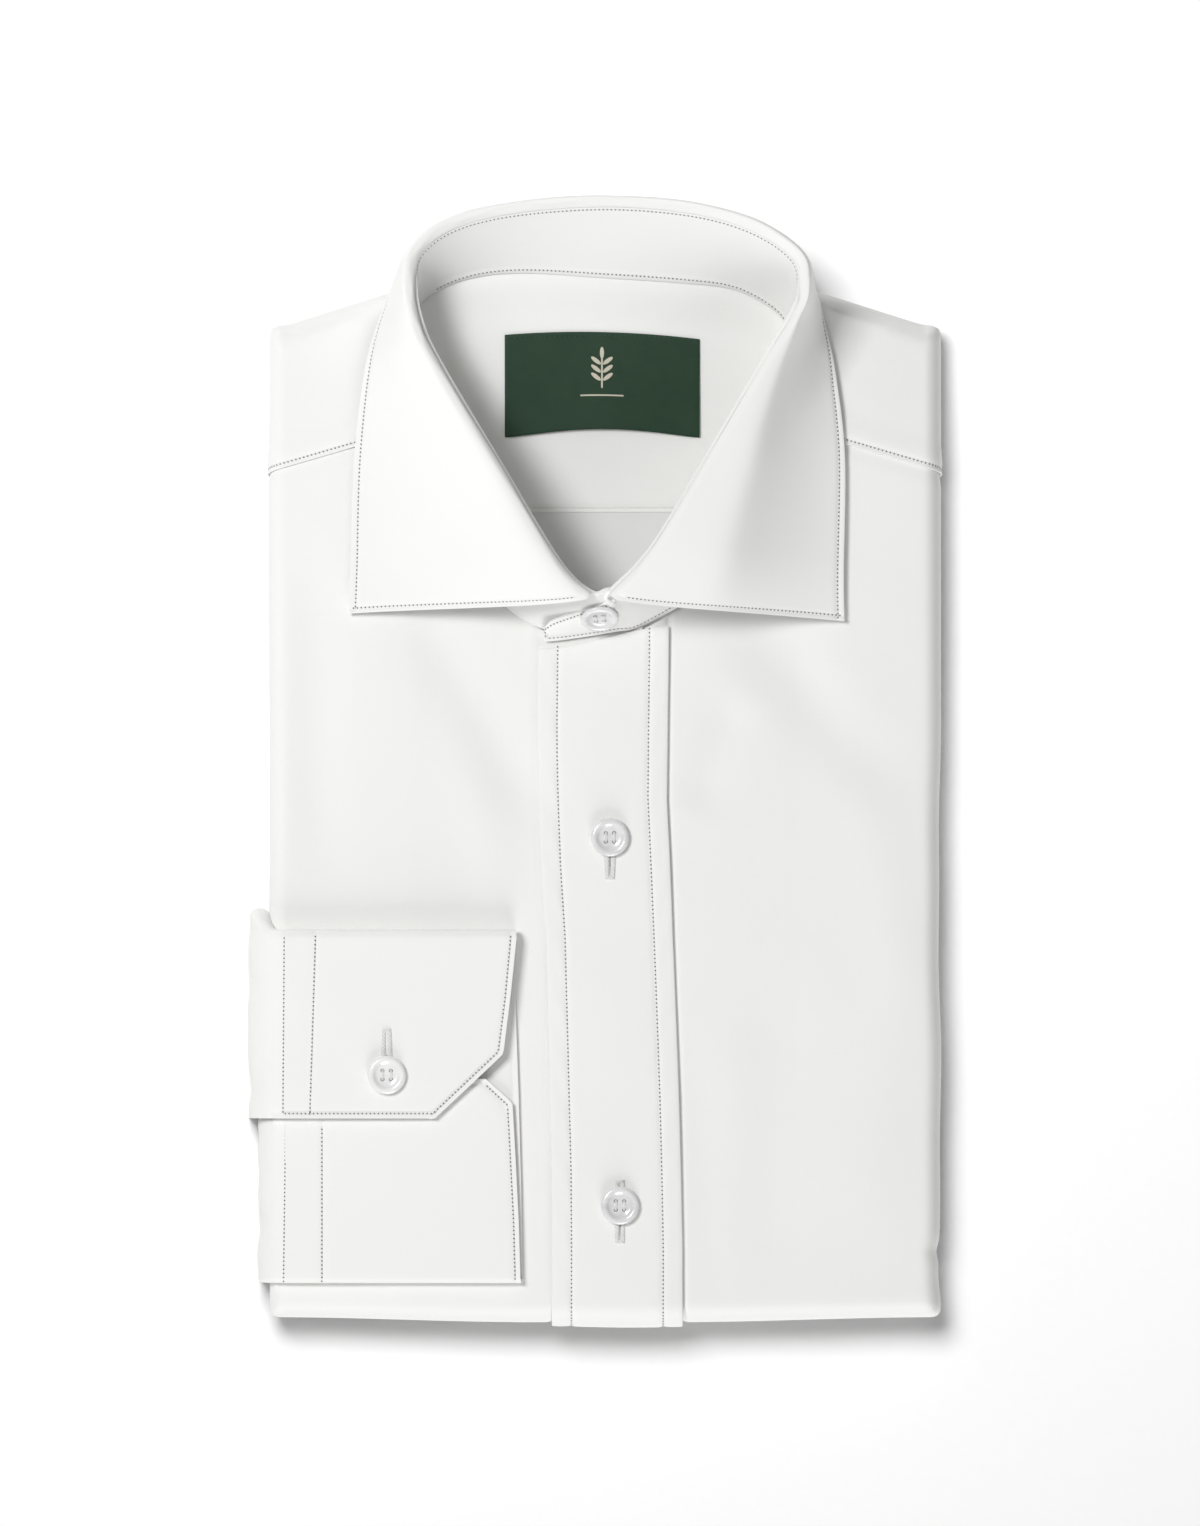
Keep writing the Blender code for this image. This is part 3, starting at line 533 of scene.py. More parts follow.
def sew(name, seams, pitch=1.3, weight=0.34, hole_shade=0.56):
    """Rows of straight stitches, one for each surface and line, with a disc of painted shade at each
    needle hole.
    """
    batches = []
    for surface, line in seams:
        point, up = seam_places(surface, line, pitch)
        forward = unit(np.diff(point, axis=0))
        centre = (point[1:] + point[:-1]) / 2
        rise = unit(up[1:] + up[:-1])
        side = np.cross(rise, forward)
        length = np.linalg.norm(point[1] - point[0]) - 0.4
        batches.append((copy_along(stitch_points, stitch_faces, centre + rise * 0.06, forward,
                                   side, rise, (length, weight, weight * 0.8)), 0))
        # A dark disc at each needle hole: painted shade.
        level = unit(np.cross(up[1:], side))
        batches.append((copy_along(shade_disc_points, shade_disc_faces, point[1:] + up[1:] * 0.12, level,
                                   side, up[1:], (hole_shade, hole_shade, hole_shade)), 1))
    return thread_piece(name, batches, (white_thread, needle_hole_shade))


def inner_yoke_surface(x, y):
    return hollow_point(x, y, 0.4)


inner_line = [(x, INNER_SEAM + SEAM_STITCH) for x in (-47, 0, 47)]
inner_stitches = sew("inner_yoke_stitches", [(inner_yoke_surface, inner_line)], hole_shade=0.16)


# ---------------------------------------------------------------- woven label
# A satin label, sewn along its top to the inner yoke and free below, where it stands
# off a little. Dark green warp, with a small sprig and a rule brought up in cream.

LABEL_WALL = 0.4
across, share = np.meshgrid(np.linspace(-1, 1, 64), np.linspace(0, 1, 34))
bow = 1 - across**2
x = -0.9 + 31.2 * across
y = mix(102.6 + 2.7 * bow**1.4, 134.7 + 1.6 * bow - 0.7 * across, share)
stand_off = (0.35 + 1.1 * bow) * (1 - share) ** 1.6 + 0.12 * np.sin(x / 5.2 + 1) * (1 - share)


def on_label(x, y, lift=0.0):
    return hollow_point(x, y, 1.2 + lift)


points = on_label(x, y, stand_off)


def satin(name, ground, figure):
    """Satin weave: long floats with a soft shine, and a figure woven in a second colour."""
    look, cloth, shader = new_look(name, 0.5)
    u, v = (cloth.part(0) - 0.0312) * 1000.0, (cloth.part(1) - 0.0176) * 1000.0
    picks = (v * (2 * math.pi / 0.3)).sine()
    ends = (u * (2 * math.pi / 0.24) + v * 9.0).sine()
    stem = (0.28 - u.size()).smooth(-0.04, 0.05) * (5.4 - (v - 1.0).size()).smooth(0.0, 0.3)
    figure_wire = stem
    leaves = [(0.0, 7.1, 90)]
    leaves += [(side * 1.9, rise, 90 - side * 52) for rise in (4.6, 2.0, -0.6) for side in (-1, 1)]
    for at_u, at_v, angle in leaves:
        turn = math.radians(angle)
        along = (u - at_u) * math.cos(turn) + (v - at_v) * math.sin(turn)
        aside = (v - at_v) * math.cos(turn) - (u - at_u) * math.sin(turn)
        leaf = 1.0 - along * along * (1 / 2.1**2) - aside * aside * (1 / 0.72**2)
        figure_wire = figure_wire + leaf.smooth(0.0, 0.35)
    rule = (0.26 - (v + 6.6).size()).smooth(-0.04, 0.06) * (7.0 - u.size()).smooth(0.0, 0.2)
    figure_wire = (figure_wire + rule).smooth(0.2, 0.7)
    slub = cloth.noise((300, 3600, 1)) * 0.5 + cloth.noise((120, 120, 1)) * 0.5
    ground_wire = (picks * 0.1 + slub).smooth(0.1, 0.9)
    dark = ground_wire.tint(deeper(ground, 0.72), ground)
    pale = ground_wire.tint(deeper(figure, 0.8), figure)
    colour = cloth.node("ShaderNodeMix", {"data_type": "RGBA"},
                        {0: figure_wire, 6: dark, 7: pale}, 2)
    height = picks * 0.25 + ends * 0.12 + figure_wire * 1.2 + slub * 0.5
    feed(look, shader, colour, height.bump(0.5, 0.00008), slub * 0.2 + 0.42, 0.35)
    return look


label_weave = satin("label_weave", (0.014, 0.047, 0.022), (0.62, 0.58, 0.47))
label = lay_cloth("woven_label", points, LABEL_WALL, label_weave)
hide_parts("label")
label_stitches = sew("label_stitches", [
    (on_label, [(-31.2, 134.1), (-16, 134.9), (0, 135.2), (16, 134.9), (29.4, 134.1)])],
    pitch=1.6, weight=0.26, hole_shade=0.2)
# Green thread, with darker green discs between the stitches as painted shade in the needle holes.
label_stitches.data.materials[0] = spun_thread("green_thread", (0.03, 0.08, 0.04))
label_stitches.data.materials[1] = spun_thread("label_needle_hole_shade", (0.012, 0.03, 0.016))


# ---------------------------------------------------------------- fronts
# The two fronts, from the neck and yoke seams down to the hem fold, rolled over the
# sides and the hem. One ply of shirting; the right front runs on under the placket.

NECKLINE = ((-61.6, 116), (-56.5, 98), (-50.7, 83), (-43.5, 66), (-35.5, 52.5), (-26, 45.4),
            (-17.5, 40.4), (0, 40.4), (9, 43.0), (13.5, 42.8), (24, 48.6), (35.6, 58), (44, 71),
            (51.6, 86), (57, 99), (61.4, 114))
# The placket's edges: how far up the cloth, and its left and right edges there.
PLACKET_EDGES = ((36.0, -21.4, 20.5), (10, -21.7, 20.2), (1, -21.6, 20.1), (-13, -21.2, 19.9),
                 (-33.8, -20.5, 20.9), (-57.8, -18.9, 21.8), (-71.9, -18.6, 22.4),
                 (-95.4, -18.0, 23.3), (-109.4, -17.7, 23.8), (-132.8, -17.1, 24.4),
                 (-156.4, -17.0, 24.9), (-200, -17.1, 24.9))
PLY = 0.6
HEM_TURN = EDGE_REACH * math.radians(112)
SIDE_END = SIDE_FLAT + HEM_TURN
shirting = cotton("shirting", (0.852, 0.852, 0.836))


def yoke_seam(across):
    """Where the yoke is sewn to a front, measured up the cloth."""
    return 105.0 - 0.292 * (np.abs(across) - 61.6)


def placket_sides(along):
    """Where the placket's left and right edges are."""
    rows = np.array(PLACKET_EDGES)[::-1]
    return [np.interp(along, rows[:, 0], rows[:, side]) for side in (1, 2)]


def front_lift(across, along):
    """A front dips under the yoke's edge, and beside the placket."""
    under = (np.abs(across) > 60) * ease(1 - (yoke_seam(across) - along) / 4.5)
    beside = [np.abs(across - edge) for edge in placket_sides(along)]
    return -0.42 * under - 0.5 * np.exp(-((np.minimum(*beside) / 0.9) ** 2))


for name, node, side, inner in (("right_front", "front_right", -1, 12.0),
                                ("left_front", "front_left", 1, 12.8)):
    rolled = np.linspace(SIDE_END, SIDE_FLAT, 10)[:-1]
    level = np.concatenate([np.linspace(SIDE_FLAT, 28, 44)[:-1],
                            np.linspace(28, side * inner, 34)])
    columns = np.sort(side * np.concatenate([rolled, level]))
    top = np.interp(columns, *zip(*NECKLINE)) - 0.9
    top = np.where(np.abs(columns) > 60.9, yoke_seam(columns) + 2.0, top)
    low = hem_line(np.clip(columns, -SIDE_FLAT, SIDE_FLAT)) + EDGE_REACH
    rows = [low - HEM_TURN * step for step in np.linspace(1, 0, 10)[:-1]]
    rows += [mix(low, top, step) for step in np.linspace(0, 1, 138)]
    along = np.array(rows)
    across = np.broadcast_to(columns, along.shape)
    points = body_point(across, along, front_lift(across, along))
    lay_cloth(name, points, PLY, shirting)
    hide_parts(node)


# ---------------------------------------------------------------- yoke
# The yoke lies round the back of the neck and over both shoulders, and laps over the
# fronts with one row of stitches along each edge.

YOKE_INNER = np.array([(-61.6, 105.0), (-62.9, 114), (-63.6, 124), (-63.2, 134), (-61.8, 143.6),
                       (-54.6, 151.6), (-42.4, 155.8), (-22, 157), (0, 155.4), (22, 154),
                       (41, 152), (52.4, 147), (59.6, 140.4), (63, 131), (63.6, 124),
                       (62.9, 114), (61.6, 105.0)])
EDGE_STOPS = np.array([0, 0.03, 0.06, 0.09, 0.12, 0.15, 0.19, 0.24, 0.3, 0.4, 0.52, 0.66, 0.82])
YOKE_ROUND = (-1.0, -0.83, -0.66, -0.44, -0.22, 0.0, 0.22, 0.44, 0.66, 0.83, 1.0)


def read_curve(points, place):
    """A smooth curve through points, read at place, which counts points from 0."""
    points, place = np.asarray(points, float), np.asarray(place, float)
    start = np.clip(place.astype(int), 0, len(points) - 2)
    share = (place - start)[..., None]
    before = points[np.maximum(start - 1, 0)]
    after = points[np.minimum(start + 2, len(points) - 1)]
    first, second = points[start], points[start + 1]
    return 0.5 * (2 * first + (second - before) * share
                  + (2 * before - 5 * first + 4 * second - after) * share**2
                  + (3 * first - before - 3 * second + after) * share**3)


def stops_along(last, each):
    """Places from 0 to last, each of them to a section, and closer together at both ends."""
    middle = np.linspace(1, last - 1, int(last - 2) * each + 1)
    return np.concatenate([EDGE_STOPS, middle, last - EDGE_STOPS[::-1]])


def yoke_point(across, along):
    """The yoke's outer face, raised where it laps over a front and drawn in at its stitches."""
    from_seam = (along - yoke_seam(across)) * 0.96
    lap = (np.abs(across) > 60.8) * ease(1 - (from_seam - 3.2) / 7) * ease((from_seam + 9) / 2)
    return body_point(across, along, lap * (0.42 + sewn(from_seam - 1.35, 0.24)))


outer = [(-SIDE_END, yoke_seam(SIDE_END)), (-SIDE_END, 102.5), (-SIDE_END, 117.5)]
for share in YOKE_ROUND:
    flat = float(shoulder_line(share * SIDE_FLAT)) - EDGE_REACH + HEM_TURN
    outer.append((math.copysign(SIDE_END, share) if abs(share) == 1 else share * SIDE_FLAT, flat))
outer += [(-x, y) for x, y in outer[2::-1]]
last = len(outer) - 1
places = stops_along(last, 8)
near_points = read_curve(YOKE_INNER, places)
count = np.arange(last + 1)
far_points = np.stack([np.interp(places, count, [x for x, _ in outer]),
                       np.interp(places, count, [y for _, y in outer])], -1)
shares = np.concatenate([np.linspace(0, 0.72, 22)[:-1], np.linspace(0.72, 1, 20)])
spot = near_points + (far_points - near_points) * shares[:, None, None]
yoke = lay_cloth("yoke_panel", yoke_point(spot[..., 0], spot[..., 1]), PLY, shirting)
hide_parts("yoke")
yoke_lines = []
for side in (-1, 1):
    stops = np.linspace(65, SIDE_END - 1, 20) * side
    yoke_lines.append((yoke_point, list(zip(stops, yoke_seam(stops) + 1.4))))
yoke_stitches = sew("yoke_stitches", yoke_lines)


# ---------------------------------------------------------------- placket
# The button strip down the middle: cloth folded over an interlining, a row of
# stitches in from each edge, lying proud of both fronts and turned round the hem.

STITCH_INSET = 6.3
STRIP_WIDTH = 42
STRIP_WALL = 1.2


def placket_point(inward, along):
    """The strip's face, inward from its left edge in shares of its width."""
    left, right = placket_sides(along)
    width = right - left
    from_left, from_right = inward * width, (1 - inward) * width
    lift = 1.35 + 0.3 * np.sin(math.pi * np.clip(inward, 0, 1))
    for distance in (from_left, from_right):
        lift = lift + sewn(distance - STITCH_INSET, 0.3, 0.8)
        lift = lift + 0.09 * np.sin(along / 2.9 + distance) * np.exp(-(((distance - 4) / 3) ** 2))
    return body_point(left + from_left, along, lift + 0.12 * np.sin(along / 13 + inward * 4))


inset = STITCH_INSET / STRIP_WIDTH
shares = near(np.linspace(0, STRIP_WIDTH, 26), STITCH_INSET, STRIP_WIDTH - STITCH_INSET) / STRIP_WIDTH
head = mix(35.2, 42.3, ease((shares - 0.05) / 1.0))
low = float(hem_line(0)) + EDGE_REACH
rows = [np.full(len(shares), low - HEM_TURN * step) for step in np.linspace(1, 0, 12)[:-1]]
rows += [mix(low, head, step) for step in np.linspace(0, 1, 170)]
along = np.array(rows)
points = placket_point(np.broadcast_to(shares, along.shape), along)
placket = lay_cloth("placket_strip", points, STRIP_WALL, shirting)
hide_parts("placket")
placket_lines = [(placket_point, [(inset, low - 9), (inset, 35.6)]),
                 (placket_point, [(1 - inset, low - 9), (1 - inset, 41.4)])]
placket_stitches = sew("placket_stitches", placket_lines)


# ---------------------------------------------------------------- collar stand
# The band round the neck: two layers on a fusing, sewn to the neck edge and leaning in.
# Its round-ended tab buttons over the other end at the front.

COLLAR = np.array([  # neck seam x, y; roll x, y, z; free edge x, y, z
    (-17.5, 40.4, -4.2, 52.8, 39.8, -82.0, 46.2, 22.6),
    (-35.5, 52.5, -14.5, 62.6, 41.6, -81.4, 62.0, 22.6),
    (-50.7, 83.0, -33.5, 93.9, 42.0, -80.3, 96.0, 22.6),
    (-61.6, 116.0, -52.6, 125.6, 42.3, -77.0, 124.0, 22.4),
    (-62.6, 132.0, -58.6, 138.0, 43.0, -73.4, 137.6, 22.4),
    (-60.6, 144.6, -61.0, 149.5, 43.5, -68.8, 150.0, 19.0),
    (-53.8, 150.4, -60.0, 160.5, 43.0, -64.5, 159.5, 11.0),
    (-42.0, 154.6, -49.5, 169.2, 42.2, -52.8, 168.6, 6.5),
    (-26.0, 156.0, -30.0, 174.4, 41.4, -32.0, 173.6, 4.6),
    (0.0, 154.4, 0.0, 176.6, 41.0, 0.0, 175.6, 4.0),
    (24.0, 152.8, 28.0, 174.4, 41.4, 30.0, 173.2, 4.6),
    (40.0, 151.0, 47.5, 168.8, 42.2, 51.0, 167.4, 6.5),
    (51.4, 146.0, 60.6, 159.8, 43.0, 63.6, 158.6, 11.0),
    (58.6, 139.6, 62.6, 150.0, 43.5, 67.8, 149.4, 19.0),
    (62.0, 128.0, 59.6, 141.4, 43.0, 71.2, 136.0, 22.4),
    (61.4, 114.0, 51.6, 128.4, 42.3, 74.0, 122.0, 22.4),
    (51.6, 86.0, 34.6, 99.7, 42.0, 76.8, 96.0, 22.6),
    (35.6, 58.0, 15.0, 67.4, 41.6, 76.4, 60.0, 22.6),
    (13.5, 42.8, 1.3, 52.6, 39.8, 76.6, 43.8, 22.6)])
# The tab and the end under it: seam x, y; top x, y; and the top's rise over the seam.
BAND_TAB = ((-19.4, 38.0, -19.4, 40.8, 2.6), (-19.0, 37.3, -19.1, 42.1, 4.2),
            (-16.2, 37.4, -16.5, 43.9, 6.2), (-9.3, 38.3, -9.8, 46.1, 9.8),
            (3.0, 40.3, 1.8, 49.9, 15.0))
BAND_UNDER = ((0.8, 40.6, 1.6, 53.6, 19.0), (9.0, 44.0, 9.5, 53.0, 14.0))
fused_cotton = cotton("fused_cotton", (0.858, 0.858, 0.842), relief=0.00005)


def band_ends(rows, foot):
    seams = [(x, y, float(body_height(x, y)) + foot) for x, y, _, _, _ in rows]
    tops = [(x, y, seam[2] + rise) for (_, _, x, y, rise), seam in zip(rows, seams)]
    return seams, tops


round_seams = [(x, y, float(body_height(x, y)) + 0.1) for x, y in COLLAR[::-1, :2]]
tab_seams, tab_tops = band_ends(BAND_TAB, 1.5)
under_seams, under_tops = band_ends(BAND_UNDER, 0.5)
BAND_SEAMS = np.array(tab_seams + round_seams + under_seams)
BAND_TOPS = np.array(tab_tops + [tuple(row) for row in COLLAR[::-1, 2:5]] + under_tops)
BAND_WALL = 1.2


def band_point(place, share):
    """The band's outer face: place counts its sections from the tab, share goes up."""
    place, share = np.broadcast_arrays(np.asarray(place, float), np.asarray(share, float))
    seam, top = read_curve(BAND_SEAMS, place), read_curve(BAND_TOPS, place)
    return seam + (top - seam) * share[..., None]


def band_height(place):
    return np.linalg.norm(band_point(place, 1.0) - band_point(place, 0.0), axis=-1)


def band_face(place, share, depth=0.0):
    """The same with its stitched edges drawn in, or a face that lies depth behind it."""
    up = outward(band_point, place, share)
    height = band_height(place)
    from_seam, from_top = share * height, (1 - share) * height
    relief = 0.5 * np.sin(math.pi * np.clip(share, 0, 1)) + sewn(from_seam - SEAM_STITCH, 0.25)
    tab = ease((5.5 - place) / 1.0)
    relief = relief * ease(place / 1.5) + tab * sewn(from_top - SEAM_STITCH, 0.25)
    return band_point(place, share) + up * (relief - depth)[..., None]


last = len(BAND_SEAMS) - 1
places = np.concatenate([np.linspace(0, 2, 20)[:-1], np.linspace(2, 5, 30)[:-1],
                         np.linspace(5, last, (last - 5) * 9)])
shares = near(np.linspace(0, 20, 16), SEAM_STITCH, 20 - SEAM_STITCH) / 20
place, share = np.meshgrid(places, shares)
band = lay_cloth("collar_band", band_face(place, share), BAND_WALL, fused_cotton, even=False)
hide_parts("collar_stand")


def band_inside(place, share):
    """The band's inner face, with its places counted backwards so that it faces the neck."""
    return band_face(-place, share, BAND_WALL)


BAND_HEIGHTS = np.linalg.norm(BAND_TOPS - BAND_SEAMS, axis=1)


def band_share(place, distance):
    """A distance up the band at a place, as a share of its height there."""
    return distance / np.interp(place, range(len(BAND_HEIGHTS)), BAND_HEIGHTS)


foot_line = [(place, band_share(place, SEAM_STITCH)) for place in np.linspace(1.05, 7.5, 40)]
tab_line = [(place, 1 - band_share(place, SEAM_STITCH)) for place in np.linspace(1.05, 4.7, 30)]
neck_line = [(-place, 1 - band_share(place, 0.9)) for place in np.linspace(8.0, last - 6.0, 60)]
neck_foot_line = [(-place, band_share(place, 1.6)) for place in np.linspace(10.0, last - 8.0, 50)]
band_stitches = sew("collar_band_stitches", [
    (band_face, foot_line), (band_face, tab_line),
    (band_face, [(1.05, 0.2), (1.0, 0.5), (1.05, 0.82)]),
    (band_inside, neck_line), (band_inside, neck_foot_line)])


# ---------------------------------------------------------------- collar fall
# The part that turns down over the band: two leaves on the fronts and the back. Two
# layers on a fusing, turned out at the edges and stitched round close to them.

LEAF_WALL = 1.2
ROLL_RADIUS = 2.6
EDGE_STITCH = 1.7
BREAK_PLACES = (12.0, 13, 14, 15, 16, 17, 18)
BREAK_ACROSS = (0.0, 0.0, 0.06, 0.22, 0.39, 0.49, 0.55)


def fall_form(place, across):
    """The fall before its stitching: across goes from -1 inside, over the roll, to 1 at its
    edge.
    """
    place, across = np.broadcast_arrays(np.asarray(place, float), np.asarray(across, float))
    last = len(COLLAR) - 1.0
    rolls, edges = COLLAR[:, 2:5], COLLAR[:, 5:8]
    roll, edge = read_curve(rolls, place), read_curve(edges, place)
    ahead = (read_curve(rolls, np.minimum(place + 0.2, last))
             - read_curve(rolls, np.maximum(place - 0.2, 0)))
    out = unit(np.stack([-ahead[..., 1], ahead[..., 0], 0 * place], -1))
    up = np.array([0.0, 0.0, 1.0])
    crest = roll + up * 0.7 + (out + up) * ROLL_RADIUS
    # Behind the neck the band leans out, and the fall carries its slope on over the roll.
    rise = unit(roll - read_curve(BAND_SEAMS[len(BAND_TAB):-2][::-1], place))
    lean = (rise * out).sum(-1)[..., None]
    follow = ease(lean * 2.2 + 0.3)
    inward = -unit(out - lean * rise)
    start = roll + mix(up * 0.7, inward * BAND_WALL + rise * 0.2, follow)
    climb = crest[..., 2:] - start[..., 2:]
    corner = start + mix(up, rise / np.maximum(rise[..., 2:], 0.3), follow) * climb
    turn = 1 + np.minimum(across, 0.0)[..., None]
    arc = start * (1 - turn) ** 2 + corner * 2 * turn * (1 - turn) + crest * turn**2
    share = np.clip(across, 0, 1.05)[..., None]
    back = crest - edge
    span = np.linalg.norm(back[..., :2], axis=-1)[..., None]
    steep = ease(back[..., 2:] / np.maximum(span, 1.0) - 0.6)
    ends = ease(1.25 - np.minimum(place, last - place) / 1.6)[..., None] * 0.78
    ahead = mix(out, np.concatenate([-back[..., :2] / span, 0 * span], -1), ends)
    first = crest + ahead * (1.4 + 0.14 * span)
    second = edge + out * 1.4 * steep + np.concatenate(
        [back[..., :2] * 0.42, back[..., 2:] * mix(0.12, 0.5, steep)], -1)
    rest = 1 - share
    leaf = (crest * rest**3 + first * 3 * rest**2 * share
            + second * 3 * rest * share**2 + edge * share**3)
    # The wearer's left leaf stays up near its roll, then breaks along a slant and slopes down.
    middle = np.interp(place, BREAK_PLACES, BREAK_ACROSS)
    flat_share = np.clip(across, 0, 1.05)
    bends = [np.sqrt((stop - middle) ** 2 + 0.006) + stop - middle for stop in (0, flat_share, 1)]
    bend = (bends[1] - bends[0]) / (bends[2] - bends[0])
    drop = 0.03 * flat_share + 0.97 * (1.6 * bend - 0.6 * bend**2)
    broken = crest[..., 2] - back[..., 2] * drop
    amount = ease((place - 12.2) / 1.2) * mix(1.0, 0.5, ease((place - 16.8) / 1.2))
    leaf[..., 2] = mix(leaf[..., 2], broken, amount)
    # The wearer's right leaf has two long, shallow waves.
    wave = ease((4.2 - place) / 2) * np.sin(math.pi * flat_share)
    leaf[..., 2] += wave * 0.55 * np.sin(flat_share * 7.5 + place * 1.1 + 0.6)
    return np.where(across[..., None] < 0, arc, leaf)


def fall_spans(place, across):
    """Distances from the fall's free edge and its nearer front edge, its length from roll to
    edge, and the millimetres to each place along it.
    """
    last = len(COLLAR) - 1.0
    step = 0.04
    here = np.clip(place, step, last - step)
    pace = np.linalg.norm(fall_form(here + step, across) - fall_form(here - step, across),
                          axis=-1) / (2 * step)
    points = fall_form(place[..., None], np.linspace(0, 1, 13))
    length = np.linalg.norm(np.diff(points, axis=-2), axis=-1).sum(-1)
    return (1.0 - across) * length, np.minimum(place, last - place) * pace, length, pace


def fall_point(place, across, lift=0.0):
    """The fall's outer face, with its puffed edges drawn in at the stitches."""
    place, across = np.broadcast_arrays(np.asarray(place, float), np.asarray(across, float))
    up = outward(fall_form, place, across)
    from_edge, from_front, _, _ = fall_spans(place, across)
    relief = sewn(from_edge - EDGE_STITCH, 0.3, 0.7) + sewn(from_front - EDGE_STITCH, 0.3, 0.7)
    relief = relief * ease(across * 20 + 1) + 0.1 * np.sin(place * 5.3) * np.sin(across * 9)
    return fall_form(place, across) + up * (relief + lift)[..., None]


last = len(COLLAR) - 1.0
places = stops_along(last, 9)
acrosses = np.concatenate([np.linspace(-1, 0, 9)[:-1], np.linspace(0, 1, 42)])
from_edges = np.array([3.4, 2.8, 2.4, 2.05, 1.7, 1.35, 1.0, 0.65, 0.3, 0])
_, _, length, _ = fall_spans(places, np.ones(len(places)))
place, across = np.meshgrid(places, acrosses)
across = np.where(across > 0, across * (1 - 4.2 / length), across)
across = np.concatenate([across, 1 - from_edges[:, None] / length])
place = np.broadcast_to(places, across.shape)
fall = lay_cloth("collar_fall_leaves", fall_point(place, across), LEAF_WALL, fused_cotton)
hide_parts("collar_fall")


leg = np.linspace(0.06, 0.985, 50)
_, _, _, pace = fall_spans(np.full(len(leg), 0.1), leg)
first_leg = [(EDGE_STITCH / speed, stop) for stop, speed in zip(leg, pace)]
_, _, _, pace = fall_spans(np.full(len(leg), last - 0.1), leg)
last_leg = [(last - EDGE_STITCH / speed, stop) for stop, speed in zip(leg, pace)]
round_stops = np.linspace(0.11, last - 0.11, 200)
_, _, length, _ = fall_spans(round_stops, np.ones(len(round_stops)))
round_leg = [(stop, 1 - EDGE_STITCH / run) for stop, run in zip(round_stops, length)]
fall_stitches = sew("collar_fall_stitches", [
    (fall_point, first_leg), (fall_point, round_leg), (fall_point, last_leg)])


# ---------------------------------------------------------------- cuff
# One band bent into a flattened ring: its buttonhole end lies over its button end. Two
# layers on a fusing, corners cut off slantwise, stitched round close to every edge.

CUFF_WALL = 1.2
CUFF_SEAM = 104.6
# The cuff's section in four stretches: how far up the shirt, its lift, and its wrist edge.
CUFF_OVER = ((-115.3, 5.6, -54.4), (-105.0, 5.8, -43.4), (-94.6, 5.8, -32.5), (-76.0, 5.9, -30.2))
CUFF_BACK = ((-79.0, 0.3, -28.6), (-108.0, 0.3, -27.6), (-137.0, 0.3, -26.8))
CUFF_UNDER = ((-148.0, 3.55, -27.6), (-128.0, 3.55, -28.6), (-110.2, 3.5, -29.6),
              (-102.6, 3.4, -38.2))


def over_front(out, y, lift):
    """Cloth on the front that goes over the wearer's right edge, out measured along it."""
    out, y, lift = np.broadcast_arrays(*[np.asarray(value, float) for value in (out, y, lift)])
    turn = np.clip((out - SIDE_FLAT) / EDGE_REACH, 0.0, math.pi / 2)
    hang = np.maximum(out - SIDE_FLAT - QUARTER_ROLL, 0.0)
    flat = np.minimum(out, SIDE_FLAT)
    x = -flat - (EDGE_REACH + lift) * np.sin(turn)
    drop = (EDGE_DROP + lift) * (1 - np.cos(turn)) + hang
    return np.stack([x, y, body_height(-flat, y) + lift - drop], -1)


wraps = list(CUFF_OVER)
for angle in np.linspace(0, math.pi, 13):
    wraps.append((-57.6 + 2.75 * math.sin(angle), 3.05 + 2.75 * math.cos(angle),
                  mix(-28.3, -28.5, angle / 3)))
wraps += CUFF_BACK
for angle in np.linspace(0, math.pi, 11):
    wraps.append((-166.4 - 1.6 * math.sin(angle), 1.9 - 1.6 * math.cos(angle),
                  mix(-26.3, -27.0, angle / 3)))
WRAPS = np.array(wraps + list(CUFF_UNDER))
WRAP_RUN = np.append(0, np.cumsum(np.linalg.norm(np.diff(WRAPS[:, :2], axis=0), axis=1)))


def cuff_row(run):
    """Height up the shirt, lift and wrist edge at a distance round the cuff's section."""
    return [np.interp(run, WRAP_RUN, WRAPS[:, column]) for column in range(3)]


def cuff_point(inward, run):
    """The cuff's outer face: inward goes from its wrist edge to the sleeve, in millimetres."""
    y, lift, wrist = cuff_row(run)
    out = np.minimum(-wrist + inward, CUFF_SEAM)
    end = WRAP_RUN[-1] - run
    slant = np.where((run < 21) | (end < 10), 0.69, 1.0)
    relief = sewn(inward * slant - EDGE_STITCH, 0.26, 0.7)
    relief = relief + sewn(np.minimum(run, end) - EDGE_STITCH, 0.26, 0.7) * (inward > 1)
    second = np.where(end < 70, 90.6, mix(94.5, 92.5, (y + 113) / 58))
    relief = relief + sewn(out - second, 0.24, 0.7)
    relief = relief + 0.14 * np.sin(y / 11 + out / 19) * np.sin(out / 13 + 1)
    return over_front(out, y, lift + relief)


runs = near(np.concatenate([np.linspace(0, 58, 38), WRAP_RUN[4:17], np.linspace(68, 168, 50)[:-1],
                            WRAP_RUN[20:31], np.linspace(182, WRAP_RUN[-1], 40)]),
            EDGE_STITCH, WRAP_RUN[-1] - EDGE_STITCH)
runs = np.unique(np.sort(runs))
rows = []
for run in runs:
    wrist = -cuff_row(run)[2]
    width = CUFF_SEAM - wrist
    stops = near(np.linspace(0, width, 36), EDGE_STITCH, width - 3.2, width - 13.2)
    stops = np.interp(np.linspace(0, 1, 50), np.linspace(0, 1, len(stops)), stops)
    rows.append(cuff_point(stops[::-1], np.full(len(stops), run)))
cuff = lay_cloth("buttoned_cuff", np.array(rows), CUFF_WALL, fused_cotton)
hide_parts("cuff")


def cuff_layer(x, y, lift):
    """A layer of the cuff, by its place on the shirt, just under its puffed face."""
    return over_front(-x, y, lift + 0.14 * np.sin(y / 11 - x / 19) * np.sin(-x / 13 + 1) - 0.06)


